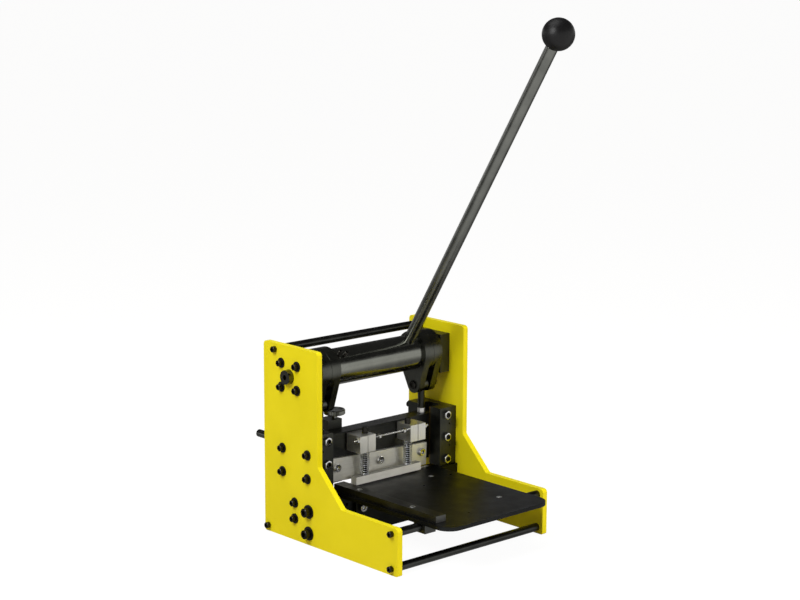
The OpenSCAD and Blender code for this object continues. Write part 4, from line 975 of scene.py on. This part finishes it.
def seen_rays(tree):
    """Sockets that are 1 for rays that see the studio, straight or mirrored, and for camera rays alone."""
    path = add(tree, "ShaderNodeLightPath")
    camera_ray, glossy_ray, clear_ray = [
        path.outputs["Is " + kind + " Ray"] for kind in ("Camera", "Glossy", "Transmission")
    ]
    first = add(tree, "ShaderNodeMath", {0: camera_ray, 1: glossy_ray}, operation="MAXIMUM")
    seen = add(tree, "ShaderNodeMath", {0: first.outputs[0], 1: clear_ray}, operation="MAXIMUM")
    return seen.outputs[0], camera_ray


floor = bpy.data.objects.new("studio_floor", bpy.data.meshes.new("studio_floor"))
bpy.context.scene.collection.objects.link(floor)
ground = bmesh.new()
bmesh.ops.create_grid(ground, x_segments=1, y_segments=1, size=floor_half)
ground.to_mesh(floor.data)
ground.free()

paper = bpy.data.materials.new("white studio paper")
tree = emptied(paper)
seen, camera_ray = seen_rays(tree)
spot = add(tree, "ShaderNodeSeparateXYZ", {0: add(tree, "ShaderNodeTexCoord").outputs["Object"]})
behind = add(
    tree, "ShaderNodeMath", {0: spot.outputs["X"], 1: slant, 2: spot.outputs["Y"]},
    operation="MULTIPLY_ADD",
)
mirrored = add(tree, "ShaderNodeMapRange", {
    "Value": behind.outputs[0], "From Min": lit_until, "From Max": dim_from, "To Min": 1,
    "To Max": dim_level,
})
level = add(
    tree, "ShaderNodeMix", {"Factor": camera_ray, "A": mirrored.outputs[0], "B": paper_white},
    data_type="FLOAT",
)
glow = add(tree, "ShaderNodeMath", {0: seen, 1: glow_share}, operation="MULTIPLY")
# What the paper throws back on the machine is warmer and weaker than the white that is seen.
tone = add(
    tree, "ShaderNodeMix", {"Factor": seen, "A": linear("#C6B9A4"), "B": linear("#F6F6F4")},
    data_type="RGBA",
)
matt = add(tree, "ShaderNodeBsdfDiffuse", {"Color": tone.outputs[2]})
bright = add(tree, "ShaderNodeEmission", {"Color": (1, 1, 1, 1), "Strength": level.outputs[0]})
mixed = add(
    tree, "ShaderNodeMixShader", {0: glow.outputs[0], 1: matt.outputs[0], 2: bright.outputs[0]},
)
add(tree, "ShaderNodeOutputMaterial", {"Surface": mixed.outputs[0]})
floor.data.materials.append(paper)
floor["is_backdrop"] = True
print("floor width in m:", 2 * floor_half)

# %% [markdown]
# ## World
# The camera sees pure white round the machine. Bright metal sees the studio as it stands: white walls low
# down, and a dim ceiling above them. The edge between the two is the sharp line along the shaft. A picture
# of a studio could be used, but a ramp over the height is enough, as every wall is plain.

# %% World
ceiling_lean = 0.1
# How bright the studio is, by the height of the direction in which steel mirrors it.
studio_levels = [(0.19, 1), (0.22, 0.24), (0.3, 0.17), (0.36, 0.035), (1, 0.05)]

world = bpy.data.worlds.new("studio")
bpy.context.scene.world = world
tree = emptied(world)
seen, camera_ray = seen_rays(tree)
way = add(tree, "ShaderNodeSeparateXYZ", {0: add(tree, "ShaderNodeTexCoord").outputs["Generated"]})
rise = add(
    tree, "ShaderNodeMath", {0: way.outputs["Y"], 1: ceiling_lean, 2: way.outputs["Z"]},
    operation="MULTIPLY_ADD",
)
walls = add(
    tree, "ShaderNodeValToRGB", {"Fac": rise.outputs[0]},
    [(height, (level, level, level, 1)) for height, level in studio_levels],
)
white = add(
    tree, "ShaderNodeMix", {"Factor": camera_ray, "A": walls.outputs[0], "B": (1, 1, 1, 1)},
    data_type="RGBA",
)
# The light that the world itself gives is a weak, warm fill.
fill = add(tree, "ShaderNodeBackground", {"Color": linear("#F3ECE2"), "Strength": 0.3})
studio = add(tree, "ShaderNodeBackground", {"Color": white.outputs[2], "Strength": 1})
mixed = add(tree, "ShaderNodeMixShader", {0: seen, 1: fill.outputs[0], 2: studio.outputs[0]})
add(tree, "ShaderNodeOutputWorld", {"Surface": mixed.outputs[0]})
print("levels of the studio:", len(studio_levels))

# %% [markdown]
# ## Lamps
# Three soft lamps light the machine. The key stands high to its left and lights the plate that faces the
# camera. A broad one at the front lights the blades and the table, and steel doesn't mirror it, because it
# would be a white patch on the shaft. A large one above lifts what lies flat. Small lamps would draw hard
# shadows, which the photograph doesn't have.

# %% Lamps
aimed_at = Vector((0, 0, 0.25))
# Name, place in m, width in m, power in W, colour, and whether steel mirrors it.
lamps = [
    ("key softbox", (-1.55, -0.2, 1.55), 0.8, 25.5, "#FFFFFF", True),
    ("front softbox", (0.9, -2.6, 1.0), 1.5, 50, "#FFFCF6", False),
    ("top softbox", (-0.4, 0.4, 2.8), 1.8, 22, "#FFFFFF", True),
]
for name, stand, width, power, colour, mirrored in lamps:
    lamp = bpy.data.lights.new(name, "AREA")
    lamp.shape = "SQUARE"
    lamp.size = width
    lamp.energy = power
    lamp.color = linear(colour)[:3]
    softbox = bpy.data.objects.new(name, lamp)
    bpy.context.scene.collection.objects.link(softbox)
    turn = (aimed_at - Vector(stand)).to_track_quat("-Z", "Y").to_matrix().to_4x4()
    softbox.matrix_world = Matrix.Translation(stand) @ turn
    softbox.visible_glossy = mirrored
bpy.context.scene.view_settings.view_transform = "Standard"
print("lamps:", len(lamps))

# %% [markdown]
# ## Finish
# The size of the dressed machine is printed.

# %% Sizes and the end
low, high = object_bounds()
print("dressed size in mm:", [round(s / mm, 1) for s in high - low])
